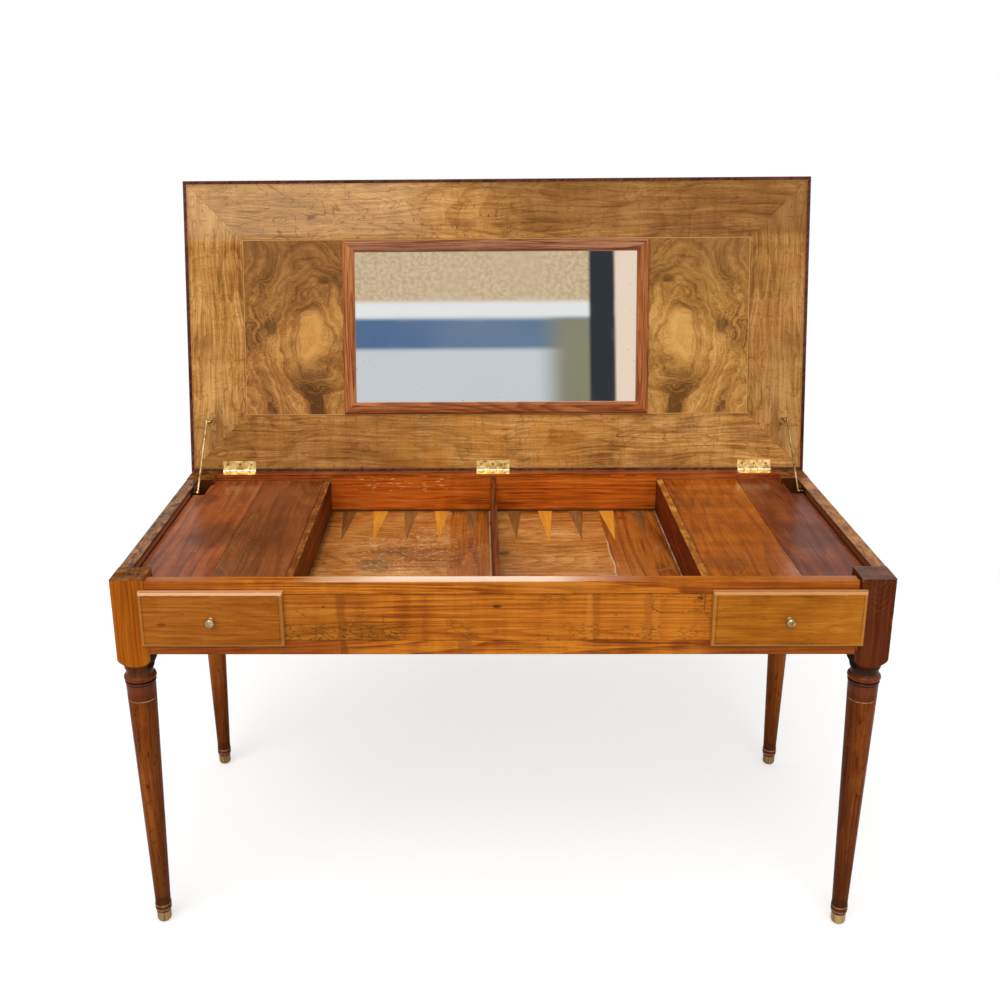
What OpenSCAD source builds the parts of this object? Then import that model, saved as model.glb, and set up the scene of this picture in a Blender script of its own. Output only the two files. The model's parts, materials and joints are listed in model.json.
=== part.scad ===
// Games table with a lifting lid. The lid carries a framed mirror inside, and covers a
// backgammon well with a board-covered drawer compartment on each side of it.
// The origin is on the floor, under the middle of the table with its lid open.
// X runs to the right, Y to the back and Z up.

/* [Case] */
// Width over the corner posts
case_w = 1320; // [1200:5:1500]
// Depth over the corner posts
case_d = 615; // [540:5:720]
// Height of the post tops above the floor
rim_h = 702; // [660:2:760]
// Height of the rails, from the post tops down
apron_h = 139; // [134:1:160]
// Side of a corner post's square head
post_w = 57; // [50:1:64]
// Thickness of the front and side rails
rail_t = 24; // [18:1:28]
// Thickness of the back rail
back_rail_t = 26; // [26:1:32]
// How far the rails' faces lie behind the posts' faces
rail_setback = 1; // [0.5:0.5:3]
// How far the front rail's top lies below the post tops
front_drop = 4; // [1:0.5:6]
// Height of the front rail above the drawers
top_rail_h = 23; // [18:1:26]
// Open joint between that rail's right end and the post
open_joint = 4; // [0.5:0.5:5]
// Height of the front rail below the drawers
bottom_rail_h = 27; // [22:1:34]
// Thickness of the rails' tenons
tenon_t = 8; // [6:1:10]
// Length of the rails' tenons
tenon_l = 25; // [15:1:30]
// Shoulder above and below a tenon
tenon_shoulder = 4; // [2:1:7]

/* [Legs] */
// Drop from the post tops to the start of the rounded shoulder
shoulder_drop = 143; // [140:1:170]
// Radius of the shoulder's round
shoulder_r = 22; // [16:1:24]
// Height of the shoulder down to the neck
shoulder_h = 35; // [30:1:44]
// Radius of the neck
neck_r = 23.8; // [20:0.2:26]
// Height of the neck
neck_h = 7; // [4:1:12]
// Radius of the collar below the neck
collar_r = 28.4; // [26.5:0.1:31]
// Height of the collar
collar_h = 12; // [8:1:16]
// Radius of the small bead below the collar
bead_r = 27.2; // [26.2:0.1:29]
// Height of the small bead
bead_h = 4.5; // [3:0.5:7]
// Radius of the shaft at its top
shaft_top_r = 26; // [22:0.5:27]
// Radius of the shaft above the foot
shaft_foot_r = 14.2; // [13:0.1:18]
// Radius of the swelling above the foot
ankle_r = 15.1; // [14.5:0.1:19]
// Distance from the bead to the ring cut round the shaft
shaft_ring_drop = 32; // [20:1:60]
// Height of the upper ring cut above the foot
ankle_ring_z = 38; // [36:1:44]
// Distance between the two rings cut above the foot
ankle_ring_gap = 9.5; // [7:0.5:12]
// Width of a ring cut
ring_w = 2.6; // [1:0.2:3.4]
// Depth of a ring cut
ring_cut = 0.7; // [0.3:0.1:1.2]
// Radius of the foot cap
cap_r = 13.1; // [12:0.1:16]
// Height of the foot cap
cap_h = 22; // [16:1:24]
// Round at the foot cap's lower edge
cap_round = 8; // [2:0.5:8]
// Radius of the spigot that holds the foot cap
spigot_r = 7.5; // [5:0.5:9]
// Length of the spigot that holds the foot cap
spigot_l = 13; // [8:1:14]

/* [Well] */
// Width of the backgammon well
well_w = 699; // [640:1:720]
// How far the well lies to the left of the middle
well_shift = 6; // [0:1:10]
// Depth of the well's floor below the post tops
well_drop = 81.6; // [60:0.2:90]
// Thickness of the well's side walls
wall_t = 13.5; // [10:0.5:16]
// Thickness of the well's floor
floor_t = 10; // [8:1:14]
// Depth of the grooves that hold the floor
floor_groove = 5; // [3:0.5:6]
// Thickness of the lining on the well's back
lining_t = 5; // [3:0.5:8]
// How far the lining's top lies below the post tops
lining_drop = 2; // [1:0.5:6]
// Thickness of the centre divider
divider_t = 11; // [10:0.5:18]
// How far the divider's top lies below the post tops
divider_drop = 14.5; // [13:0.5:24]
// Height of the horn at the divider's back end
horn_h = 11; // [6:0.5:12]
// Length of the horn at the divider's back end
horn_l = 15; // [8:1:24]
// Side of the glue blocks below the floor
block_w = 18; // [12:1:24]
// Length of the glue blocks below the floor
block_l = 60; // [40:5:80]
// Number of glue blocks in a row
block_count = 4; // [2:1:6]

/* [Backgammon points] */
// Number of points along one side of each half
point_count = 5; // [3:1:5]
// Distance from point to point
point_pitch = 66; // [45:1:70]
// Width of a point at its base
point_base = 31; // [20:1:38]
// Length of a point
point_l = 180; // [120:2:220]
// Thickness of the inlaid points
point_t = 1.2; // [0.8:0.2:2]

/* [Covers] */
// How far the covers and well walls lie below the post tops
cover_drop = 12.5; // [12.5:0.5:16]
// Thickness of the cover boards
cover_t = 10; // [8:0.5:11]
// Gap between a cover and the side rail
cover_gap = 3; // [2.8:0.2:6]
// Clearance of a cover from the posts and the other edges
cover_clear = 0.5; // [0.3:0.1:1]
// Width of the left cover's inner board
joint_left = 130; // [90:1:190]
// Width of the right cover's inner board
joint_right = 157; // [90:1:190]
// Width of the inner cover bearers
bearer_in_w = 18; // [15:1:26]
// Width of the outer cover bearers
bearer_out_w = 45; // [43:1:60]
// Height of the cover bearers
bearer_h = 8; // [6:0.5:9]
// Width of the notch that a stay folds down in
notch_w = 27; // [26:0.5:34]
// Clearance in front of a stay's eye in its notch
notch_clear = 1.5; // [0.8:0.1:6]

/* [Drawers] */
// Overlap of the front panel past the well wall
panel_lap = 6; // [4:0.5:10]
// Overlap of a drawer front on the front panel and the rails
lip_in = 8; // [5:0.5:12]
// Overlap of a drawer front on the corner post
lip_out = 9.5; // [5:0.5:18]
// Thickness of the part of a drawer front that stands proud
lip_t = 11; // [8:0.5:14]
// Plain edge of the lip behind its rounded moulding
lip_edge = 5; // [2:0.5:7]
// Thickness of the part of a drawer front inside its opening
tongue_t = 11; // [9:0.5:16]
// Clearance of a drawer in its opening
drawer_clear = 1; // [0.6:0.1:2]
// Running gap under a drawer and behind its lip
run_gap = 0.3; // [0.3:0.1:0.8]
// Running gap over a drawer's sides
kick_gap = 0.5; // [0.3:0.1:1]
// Length of a drawer behind the face of its opening
drawer_l = 500; // [400:5:535]
// Thickness of the drawer sides and back
side_t = 9; // [7:0.5:12]
// Thickness of the drawer bottom
bottom_t = 6; // [4:0.5:8]
// Depth of the groove for the drawer bottom
bottom_groove = 4; // [2:0.5:6]
// Height of the drawer bottom above the sides' lower edges
bottom_up = 6; // [4:0.5:12]
// Depth of the sides' rebate in the drawer front
front_rebate = 7; // [4:0.5:8]
// Thickness of the runners
runner_t = 18; // [12:1:20]
// Width of a runner below a drawer's side
runner_w = 15; // [12:1:20]
// Height of the guides beside a drawer
guide_h = 17; // [10:1:30]
// Radius of a drawer knob
knob_r = 8.4; // [7:0.1:11]
// Projection of a drawer knob
knob_l = 18; // [15:0.5:24]
// Radius of a knob's neck
knob_neck_r = 3.4; // [2.6:0.1:4.5]
// Radius of a knob's foot
knob_foot_r = 5.8; // [4.8:0.1:7.5]
// Radius of a knob's threaded stem
knob_stem_r = 2; // [1.5:0.1:2.4]
// Radius of the nut on a knob's stem
knob_nut_r = 5; // [4:0.5:7]
// Thickness of the nut on a knob's stem
knob_nut_t = 3; // [2:0.5:4]

/* [Lid] */
// Thickness of the lid
lid_t = 22; // [18:0.5:26]
// Overhang of the lid past the case at each side
lid_side_over = 2.5; // [0:0.5:12]
// Overhang of the lid past the case at the front
lid_front_over = 2.5; // [0:0.5:12]
// How far the lid's back edge reaches behind the hinge axis
lid_lap = 2; // [0:0.5:2]
// Gap between the closed lid and the post tops
lid_gap = 0.8; // [0.6:0.1:1.6]
// Angle from closed to where the stays hold the open lid
lid_open = 101.2; // [96:0.2:106]
// Width of the edging round the lid
edging_w = 7; // [5:0.5:10]
// Width of the border with its edging
border_w = 125; // [110:1:150]
// Thickness of the veneers inside the lid
veneer_t = 1.2; // [0.8:0.1:1.5]
// Gap at the glued joints between boards and veneers
joint_gap = 0.1; // [0.06:0.02:0.2]

/* [Mirror] */
// Width of the mirror frame over all
mirror_w = 652; // [560:2:680]
// Width of the mirror frame's moulding
frame_w = 26; // [18:0.5:28]
// How far the mirror frame stands out
frame_t = 10; // [6:0.5:10.5]
// Seat of the mirror frame outside the recess
frame_seat = 6; // [4:0.5:8]
// Thickness of the mirror glass
glass_t = 4; // [3:0.5:5]
// Thickness of the board behind the glass
backing_t = 2.5; // [2:0.5:4]
// Clearance round the glass
glass_clear = 0.5; // [0.3:0.1:1]

/* [Hinges] */
// Length of a hinge
hinge_l = 71; // [60:1:90]
// Width of a hinge leaf on the wood
leaf_w = 18; // [17:0.5:24]
// Distance of the hinge axis behind the posts
axis_back = 0.6; // [0.5:0.1:1]
// Thickness of a hinge leaf
leaf_t = 1.6; // [1.3:0.1:2]
// Radius of a hinge's knuckles
knuckle_r = 3.5; // [3:0.1:4]
// Clearance between the knuckles and the wood
knuckle_clear = 0.5; // [0.3:0.1:1]
// Gap between one knuckle and the next
knuckle_gap = 0.3; // [0.3:0.05:0.6]
// Radius of a hinge pin
pin_r = 1.5; // [1.2:0.1:1.8]
// Running clearance round a pin
pin_clear = 0.06; // [0.04:0.01:0.09]
// Distance from the middle of an outer hinge to the nearest corner post
hinge_in = 46; // [46:1:120]
// Radius of the hinge screws' heads
screw_r = 2.8; // [2.4:0.1:3.4]
// Radius of the screws' shanks
shank_r = 1.5; // [1.2:0.1:2]
// Length of the screws
screw_l = 14; // [10:0.5:15]

/* [Stays] */
// Radius of a stay rod
rod_r = 2; // [1.9:0.1:2.1]
// Radius of the wire in a stay's hook
hook_wire_r = 1.8; // [1.4:0.1:1.8]
// Radius of the ball that ends a stay's hook
hook_ball_r = 1.95; // [1.9:0.05:2.1]
// Distance of the stays from the side rails
stay_in = 12; // [11:0.5:14]
// Distance of a stay's pivot in front of the hinge axis
pivot_v = 118; // [114:1:126]
// Height of a folded stay above the cover
rod_lift = 0.4; // [0.3:0.1:0.6]
// Radius of a stay's eye
eye_r = 4.6; // [4:0.1:5]
// Thickness of a stay's eye
eye_t = 3.2; // [2.6:0.1:3.3]
// Radius of a stay's pivot pin
stay_pin_r = 1.8; // [1.4:0.1:2]
// Distance of the lid's stud from the hinge axis
stud_v = 108; // [104:0.5:110]
// Distance of the stud from the lid's face
stud_off = 9; // [8.8:0.1:9.2]
// Radius of the stud
stud_r = 2; // [1.5:0.1:2.1]
// Clearance of the hook round the stud
hook_clear = 0.4; // [0.4:0.05:0.6]
// Radius of the heads on the stud and the pivot pin
stay_head_r = 3; // [2.6:0.1:3.1]
// Thickness of the heads on the stud and the pivot pin
stay_head_t = 1.2; // [0.8:0.1:1.6]
// Side clearance of a stay on its pin and stud
stay_side_clear = 0.6; // [0.4:0.1:0.8]
// Width of the stay's plate on the lid
plate_w = 14; // [12:0.5:16]
// Length of the stay's plate on the lid
plate_l = 38; // [34:1:50]
// Thickness of the stay's plates
plate_t = 1.2; // [0.8:0.1:1.4]
// Width of the stud's post on the plate
stud_post_w = 4.6; // [3.6:0.2:5]
// Length of the bracket on the side rail
bracket_l = 30; // [27:1:40]
// Height of the bracket on the side rail
bracket_h = 12; // [11:0.5:15]

/* [Hidden] */
$fn = 64;
eps = 0.01;
left = -1;
right = 1;

// Planes of the case. Y is measured from the case's middle in these values.
case_front = -case_d / 2;
case_back = case_d / 2;
rail_front = case_front + rail_setback;
front_in = rail_front + rail_t;
back_out = case_back - rail_setback;
back_in = back_out - back_rail_t;
side_out = case_w / 2 - rail_setback;
side_in = side_out - rail_t;
post_in_x = case_w / 2 - post_w;
post_in_y = case_d / 2 - post_w;
post_x = case_w / 2 - post_w / 2;
post_y = case_d / 2 - post_w / 2;
apron_z = rim_h - apron_h;
top_rail_z = rim_h - front_drop - top_rail_h;
bottom_rail_z = apron_z + bottom_rail_h;

// Heights of the leg's turning
shoulder_z = rim_h - shoulder_drop;
neck_z = shoulder_z - shoulder_h;
collar_z = neck_z - neck_h;
bead_z = collar_z - collar_h;
shaft_z = bead_z - bead_h;
shaft_ring_z = shaft_z - shaft_ring_drop;
ankle_rise = 8;
ankle_top_z = ankle_ring_z + ankle_rise;
ankle_low_z = ankle_ring_z - ankle_ring_gap;

// Planes of the well and the covers
floor_z = rim_h - well_drop;
cover_z = rim_h - cover_drop;
bearer_z = cover_z - cover_t - bearer_h;
divider_z = rim_h - divider_drop;
lining_y = back_in - lining_t;
runner_z = bottom_rail_z - runner_t;

// Openings for the drawers, and the drawers themselves
open_out = post_in_x;
drawer_out = open_out - drawer_clear;
drawer_low = bottom_rail_z + run_gap;
drawer_top = bearer_z - kick_gap;
tongue_top = top_rail_z - drawer_clear;
lip_y = case_front - run_gap;
tongue_y = lip_y + tongue_t;
drawer_end = lip_y + drawer_l;
front_low = bottom_rail_z - lip_in;
front_top = top_rail_z + lip_in;
knob_z = (front_low + front_top) / 2;
knob_y = lip_y - lip_t;

// The hinge axis, and the lid measured from it when closed
leaf_from = knuckle_r + knuckle_clear;
hinge_y = case_back + axis_back;
hinge_z = rim_h + lid_gap / 2;
lid_z = lid_gap / 2;
lid_w = case_w + 2 * lid_side_over;
lid_d = case_d + lid_front_over + axis_back + lid_lap;
lid_mid = lid_lap - lid_d / 2;
inner_w = lid_w - 2 * border_w;
inner_d = lid_d - 2 * border_w;
recess_t = glass_t + backing_t;

// Three hinges, each with an odd number of knuckles. The case leaf has the outer ones.
hinge_x = post_in_x - hinge_in;
hinge_places = [-hinge_x, -well_shift, hinge_x];
knuckles = 5;
knuckle_l = (hinge_l - (knuckles - 1) * knuckle_gap) / knuckles;
case_screw_z = -lid_gap / 2;
case_leaf_z = case_screw_z - leaf_t;
screw_at = 0.55;
screw_spread = 0.36;

// The stays. V is the distance forward of the hinge axis, H the height above it.
stay_x = side_in - stay_in;
pivot_h = cover_z + rod_lift + rod_r - hinge_z;
stud_h = lid_z - stud_off;
stud_open_v = stud_v * cos(lid_open) - stud_h * sin(lid_open);
stud_open_h = stud_v * sin(lid_open) + stud_h * cos(lid_open);
hook_in_r = stud_r + hook_clear;
hook_r = hook_in_r + hook_wire_r;
hook_end = -30;
stay_reach = norm([pivot_v - stud_open_v, stud_open_h - pivot_h]);
rod_l = sqrt(stay_reach * stay_reach - hook_r * hook_r);
stay_angle = atan2(stud_open_h - pivot_h, pivot_v - stud_open_v) + asin(hook_r / stay_reach);
notch_y = hinge_y - pivot_v - eye_r - notch_clear;
plate_screw_edge = 1.6;
bracket_screw_edge = 2;

// The case's middle lies in front of the origin, which is under the middle of the whole
// open table, from the knobs to the upper back edge of the lid.
reach_back = hinge_y + (lid_lap - lid_d) * cos(lid_open) + (lid_z + lid_t) * sin(lid_open);
reach_front = knob_y - knob_l;
case_mid_y = -(reach_back + reach_front) / 2;

// Distances from the case's middle on one side: the well wall's two faces, the opening for
// the drawer, the drawer's inner side, and the middle and width of the drawer's front
function wall_at(sx) = well_w / 2 - sx * well_shift;
function out_at(sx) = wall_at(sx) + wall_t;
function open_at(sx) = out_at(sx) + panel_lap;
function drawer_at(sx) = open_at(sx) + drawer_clear;
function front_mid(sx) = (open_at(sx) - lip_in + open_out + lip_out) / 2;
function front_w(sx) = open_out + lip_out - open_at(sx) + lip_in;

// Points on an arc about a centre
function arc(c, r, a0, a1, n = 8) =
    [for (i = [0 : n]) c + r * [cos(a0 + (a1 - a0) * i / n), sin(a0 + (a1 - a0) * i / n)]];

// Places its children from the case's middle
module in_case() {
    translate([0, case_mid_y, 0]) children();
}

// Places its children, measured from the hinge axis on a closed lid, on the open lid
module on_lid() {
    in_case() translate([0, hinge_y, hinge_z]) rotate([-lid_open, 0, 0]) children();
}

// A box between two corners
module box(low, high) {
    translate(low) cube(high - low);
}

// A box on one side of the case, from its nearer to its farther distance from the middle
module side_box(side, x0, x1, y0, y1, z0, z1) {
    low_x = min(side * x0, side * x1);
    box([low_x, y0, z0], [low_x + abs(x1 - x0), y1, z1]);
}

// Legs and their caps

// Half outline of the square head's rounding, wide above the shoulder
module head_outline() {
    clear_of_corner = 0.5;
    cove_r = 5;
    cove_end = 130;
    round_start = -66;
    corner = post_w * sqrt(2) / 2 + clear_of_corner;
    polygon(concat([[0, rim_h], [0, neck_z], [neck_r, neck_z]],
        arc([neck_r + cove_r, neck_z + 1], cove_r, 180, cove_end, 4),
        arc([corner - shoulder_r, shoulder_z], shoulder_r, round_start, 0, 10),
        [[post_w, shoulder_z], [post_w, rim_h]]));
}

// Half outline of the turned part from the neck to the foot
module shaft_outline() {
    collar_arc = collar_h / 2;
    collar_mid = collar_z - collar_arc;
    polygon(concat([[0, neck_z], [neck_r, neck_z], [neck_r, collar_z]],
        arc([collar_r - collar_arc, collar_mid], collar_arc, 90, -90, 12),
        arc([bead_r - bead_h / 2, bead_z - bead_h / 2], bead_h / 2, 90, -90, 8),
        [[shaft_top_r, shaft_z], [shaft_foot_r, ankle_top_z]],
        [[ankle_r, ankle_ring_z], [ankle_r, ankle_low_z], [cap_r, cap_h], [0, cap_h]]));
}

// A ring cut round the turning at a height where its radius is known
module ring_cut_at(r, z) {
    translate([0, 0, z - ring_w / 2]) difference() {
        cylinder(r = r + 2, h = ring_w);
        translate([0, 0, -eps]) cylinder(r = r - ring_cut, h = ring_w + 2 * eps);
    }
}

module leg(sx, sy) {
    shaft_ring_r = shaft_foot_r + (shaft_top_r - shaft_foot_r)
        * (shaft_ring_z - ankle_top_z) / (shaft_z - ankle_top_z);
    difference() {
        translate([sx * post_x, sy * post_y, 0]) {
            intersection() {
                box([-post_w / 2, -post_w / 2, neck_z], [post_w / 2, post_w / 2, rim_h]);
                rotate_extrude() head_outline();
            }
            difference() {
                rotate_extrude() shaft_outline();
                ring_cut_at(shaft_ring_r, shaft_ring_z);
                ring_cut_at(ankle_r, ankle_ring_z);
                ring_cut_at(ankle_r, ankle_low_z);
            }
            translate([0, 0, cap_h - spigot_l]) cylinder(r = spigot_r, h = spigot_l + eps);
        }
        side_tenon(sx, sy);
        if (sy < 0) {
            front_tenon(sx, top_rail_z, rim_h - front_drop, 0);
            front_tenon(sx, apron_z, bottom_rail_z, 0);
        } else {
            back_tenon(sx);
        }
    }
}

module foot_cap() {
    rotate_extrude() polygon(concat([[0, 0]],
        arc([cap_r - cap_round, cap_round], cap_round, -90, 0, 10),
        [[cap_r, cap_h], [spigot_r, cap_h], [spigot_r, cap_h - spigot_l], [0, cap_h - spigot_l]]));
}

module leg_front_left() {
    color("sienna") in_case() leg(left, -1);
}

module leg_front_right() {
    color("saddlebrown") in_case() leg(right, -1);
}

module leg_back_left() {
    color("sienna") in_case() leg(left, 1);
}

module leg_back_right() {
    color("sienna") in_case() leg(right, 1);
}

module foot_caps() {
    color("burlywood") in_case()
        for (sx = [left, right], sy = [-1, 1]) translate([sx * post_x, sy * post_y, 0]) foot_cap();
}

// Rails of the case

// Tenon at one end of a front rail that lies between two heights, with a gap at its shoulder
module front_tenon(sx, z0, z1, gap) {
    mid = rail_front + rail_t / 2;
    side_box(sx, post_in_x - gap, post_in_x + tenon_l, mid - tenon_t / 2, mid + tenon_t / 2,
        z0 + tenon_shoulder, z1 - tenon_shoulder);
}

// Tenon at one end of the back rail
module back_tenon(sx) {
    mid = back_out - back_rail_t / 2;
    side_box(sx, post_in_x, post_in_x + tenon_l, mid - tenon_t / 2, mid + tenon_t / 2,
        apron_z + tenon_shoulder, rim_h - tenon_shoulder);
}

// Tenon at the front or back end of a side rail
module side_tenon(sx, sy) {
    mid = side_out - rail_t / 2;
    near = min(sy * post_in_y, sy * (post_in_y + tenon_l));
    side_box(sx, mid - tenon_t / 2, mid + tenon_t / 2, near, near + tenon_l,
        apron_z + tenon_shoulder, rim_h - tenon_shoulder);
}

// A rail along the front between two heights, which can end short of the right post
module front_rail(z0, z1, gap) {
    box([-post_in_x, rail_front, z0], [post_in_x - gap, front_in, z1]);
    front_tenon(left, z0, z1, 0);
    front_tenon(right, z0, z1, gap);
}

module side_rail(sx) {
    difference() {
        union() {
            side_box(sx, side_in, side_out, -post_in_y, post_in_y, apron_z, rim_h);
            side_tenon(sx, -1);
            side_tenon(sx, 1);
        }
        bracket_screws(sx);
    }
}

module front_top_rail() {
    color("peru") in_case() front_rail(top_rail_z, rim_h - front_drop, open_joint);
}

module front_bottom_rail() {
    color("brown") in_case() front_rail(apron_z, bottom_rail_z, 0);
}

module front_panel() {
    color("peru") in_case()
        box([-open_at(left), rail_front, bottom_rail_z], [open_at(right), front_in, top_rail_z]);
}

module back_rail() {
    color("peru") in_case() difference() {
        union() {
            box([-post_in_x, back_in, apron_z], [post_in_x, back_out, rim_h]);
            back_tenon(left);
            back_tenon(right);
        }
        case_leaf_seats();
        case_hinge_screws();
        translate([0, hinge_y, hinge_z]) knuckle_room();
    }
}

module side_rail_left() {
    color("sienna") in_case() side_rail(left);
}

module side_rail_right() {
    color("sienna") in_case() side_rail(right);
}

// The well

// The board of the floor, which also cuts the grooves for it
module floor_board() {
    box([-wall_at(left) - floor_groove, front_in, floor_z - floor_t],
        [wall_at(right) + floor_groove, back_in, floor_z]);
}

// Middle of one half of the well
function half_mid(side) = side * (well_w + divider_t) / 4 - well_shift;

// One point of the inlay, with its base on the front or back edge of the well
module point(side, end, i) {
    x = half_mid(side) + (i - (point_count - 1) / 2) * point_pitch;
    edge = end > 0 ? lining_y : front_in;
    translate([x, edge, floor_z - point_t]) linear_extrude(point_t)
        polygon([[-point_base / 2, 0], [point_base / 2, 0], [0, -end * point_l]]);
}

// All points of one colour: the first and every second one, or those between them
module points(first) {
    for (side = [left, right], end = [-1, 1], i = [first : 2 : point_count - 1])
        point(side, end, i);
}

module well_wall(sx) {
    difference() {
        side_box(sx, wall_at(sx), out_at(sx), front_in, back_in, runner_z, cover_z);
        floor_board();
    }
}

module well_floor() {
    color("peru") in_case() difference() {
        floor_board();
        points(0);
        points(1);
    }
}

module well_wall_left() {
    color("sienna") in_case() well_wall(left);
}

module well_wall_right() {
    color("sienna") in_case() well_wall(right);
}

module well_lining() {
    color("chocolate") in_case()
        box([-wall_at(left), lining_y, floor_z], [wall_at(right), back_in, rim_h - lining_drop]);
}

module centre_divider() {
    color("brown") in_case() translate([-well_shift - divider_t / 2, 0, 0])
        rotate([90, 0, 90]) linear_extrude(divider_t)
            polygon([[front_in, floor_z], [lining_y, floor_z], [lining_y, divider_z + horn_h],
                [lining_y - horn_l, divider_z], [front_in, divider_z]]);
}

module points_light() {
    color("gold") in_case() points(1);
}

module points_dark() {
    color("saddlebrown") in_case() points(0);
}

// Three-cornered blocks glued under the floor against the front panel and the back rail
module glue_blocks() {
    pitch = (well_w - block_l) / block_count;
    under = floor_z - floor_t;
    color("tan") in_case() for (end = [-1, 1], i = [0 : block_count - 1]) {
        x = (i - (block_count - 1) / 2) * pitch - well_shift;
        edge = end > 0 ? back_in : front_in;
        translate([x - block_l / 2, edge, under]) rotate([90, 0, 90]) linear_extrude(block_l)
            polygon([[0, 0], [-end * block_w, 0], [0, -block_w]]);
    }
}

// Covers of the side compartments

// Room for the post heads and the stay notch in a cover's outer corners
module cover_cuts(sx) {
    corner_x = post_in_x - cover_clear;
    corner_y = post_in_y - cover_clear;
    for (end = [-1, 1])
        side_box(sx, corner_x, side_in, min(end * corner_y, end * case_back),
            max(end * corner_y, end * case_back), cover_z - cover_t - eps, cover_z + eps);
    side_box(sx, side_in - notch_w, side_in, notch_y, case_back,
        cover_z - cover_t - eps, cover_z + eps);
}

// One board of a cover between two distances from the middle
module cover_board(sx, x0, x1) {
    difference() {
        side_box(sx, x0, x1, front_in + cover_clear, back_in - cover_clear,
            cover_z - cover_t, cover_z);
        cover_cuts(sx);
    }
}

module cover_inner(sx, joint) {
    cover_board(sx, out_at(sx) + cover_clear, out_at(sx) + joint);
}

module cover_outer(sx, joint) {
    cover_board(sx, out_at(sx) + joint + joint_gap, side_in - cover_gap);
}

module cover_left_inner() {
    color("sienna") in_case() cover_inner(left, joint_left);
}

module cover_left_outer() {
    color("peru") in_case() cover_outer(left, joint_left);
}

module cover_right_inner() {
    color("sienna") in_case() cover_inner(right, joint_right);
}

module cover_right_outer() {
    color("peru") in_case() cover_outer(right, joint_right);
}

// Strips that carry the covers and keep the drawers from tipping
module cover_bearers() {
    color("tan") in_case() for (sx = [left, right]) {
        side_box(sx, out_at(sx), out_at(sx) + bearer_in_w, front_in, back_in,
            bearer_z, cover_z - cover_t);
        side_box(sx, side_in - bearer_out_w, side_in, -post_in_y, notch_y,
            bearer_z, cover_z - cover_t);
    }
}

// Drawers, their runners and guides

// A runner with a guide along its outer edge, drawn across the drawer's travel
module runner(sx, edge, guide, reach, y0, y1) {
    side_box(sx, min(edge, reach), max(edge, reach), y0, y1, runner_z, bottom_rail_z);
    side_box(sx, min(edge, guide), max(edge, guide), y0, y1, bottom_rail_z - eps,
        bottom_rail_z + guide_h);
}

module drawer_runners() {
    color("tan") in_case() for (sx = [left, right]) {
        runner(sx, out_at(sx), open_at(sx), open_at(sx) + runner_w, front_in, back_in);
        runner(sx, side_in, open_out, open_out - runner_w, -post_in_y, post_in_y);
    }
}

// Outline of the lip: square at the back, rounded at its two front edges
module lip_outline(w) {
    round_r = lip_t - lip_edge;
    polygon(concat([[-w / 2, 0], [-w / 2, -lip_edge]],
        arc([-w / 2 + round_r, -lip_edge], round_r, 180, 270, 6),
        arc([w / 2 - round_r, -lip_edge], round_r, -90, 0, 6),
        [[w / 2, 0]]));
}

// The proud part of a drawer front with its moulding mitred at the corners
module drawer_lip(w) {
    h = front_top - front_low;
    intersection() {
        linear_extrude(h) lip_outline(w);
        translate([-w / 2, 0, h / 2]) rotate([0, 90, 0]) linear_extrude(w) lip_outline(h);
    }
}

// The bottom panel of a drawer, which also cuts its grooves
module drawer_bottom_panel(sx) {
    low = drawer_low + bottom_up;
    side_box(sx, drawer_at(sx) + side_t - bottom_groove, drawer_out - side_t + bottom_groove,
        tongue_y - bottom_groove, drawer_end, low, low + bottom_t);
}

module drawer_front(sx) {
    rebate_y = tongue_y - front_rebate;
    difference() {
        union() {
            translate([sx * front_mid(sx), lip_y, front_low]) drawer_lip(front_w(sx));
            side_box(sx, drawer_at(sx), drawer_out, lip_y - eps, tongue_y, drawer_low, tongue_top);
        }
        drawer_side(sx, drawer_at(sx));
        drawer_side(sx, drawer_out - side_t);
        drawer_bottom_panel(sx);
        translate([sx * front_mid(sx), lip_y, knob_z]) rotate([90, 0, 0])
            cylinder(r = knob_stem_r + pin_clear, h = 2 * (lip_t + tongue_t), center = true);
    }
}

// A drawer side from a distance from the middle, before its groove is cut
module drawer_side(sx, x) {
    side_box(sx, x, x + side_t, tongue_y - front_rebate, drawer_end, drawer_low, drawer_top);
}

module grooved_side(sx, x) {
    difference() {
        drawer_side(sx, x);
        drawer_bottom_panel(sx);
    }
}

module drawer_back(sx) {
    side_box(sx, drawer_at(sx) + side_t, drawer_out - side_t, drawer_end - side_t, drawer_end,
        drawer_low + bottom_up + bottom_t, drawer_top);
}

// Knob with its foot, neck, rounded head and threaded stem, along the axis from the front's face
module knob_turning() {
    stem_past = 1;
    foot_h = 1.6;
    taper_z = 3;
    taper_r = knob_neck_r + 0.6;
    neck_low = 4.5;
    neck_top = 7;
    widest_at = 0.42;
    under_r = 0.55;
    head_l = knob_l - neck_top;
    stem_z = -lip_t - tongue_t - knob_nut_t - stem_past;
    rotate_extrude() polygon(concat(
        [[0, stem_z], [knob_stem_r, stem_z], [knob_stem_r, 0], [knob_foot_r, 0]],
        [[knob_foot_r, foot_h], [taper_r, taper_z], [knob_neck_r, neck_low]],
        [[knob_neck_r, neck_top]],
        [for (a = [0 : 10 : 90]) [knob_r * (under_r + (1 - under_r) * sin(a)),
            neck_top + head_l * widest_at * (1 - cos(a))]],
        [for (a = [10 : 10 : 90]) [knob_r * cos(a),
            neck_top + head_l * (widest_at + (1 - widest_at) * sin(a))]]));
}

module knob(sx) {
    translate([sx * front_mid(sx), knob_y, knob_z]) rotate([90, 0, 0]) {
        knob_turning();
        translate([0, 0, -lip_t - tongue_t - knob_nut_t]) difference() {
            cylinder(r = knob_nut_r, h = knob_nut_t, $fn = 6);
            translate([0, 0, -1]) cylinder(r = knob_stem_r - eps, h = knob_nut_t + 2);
        }
    }
}

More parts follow.
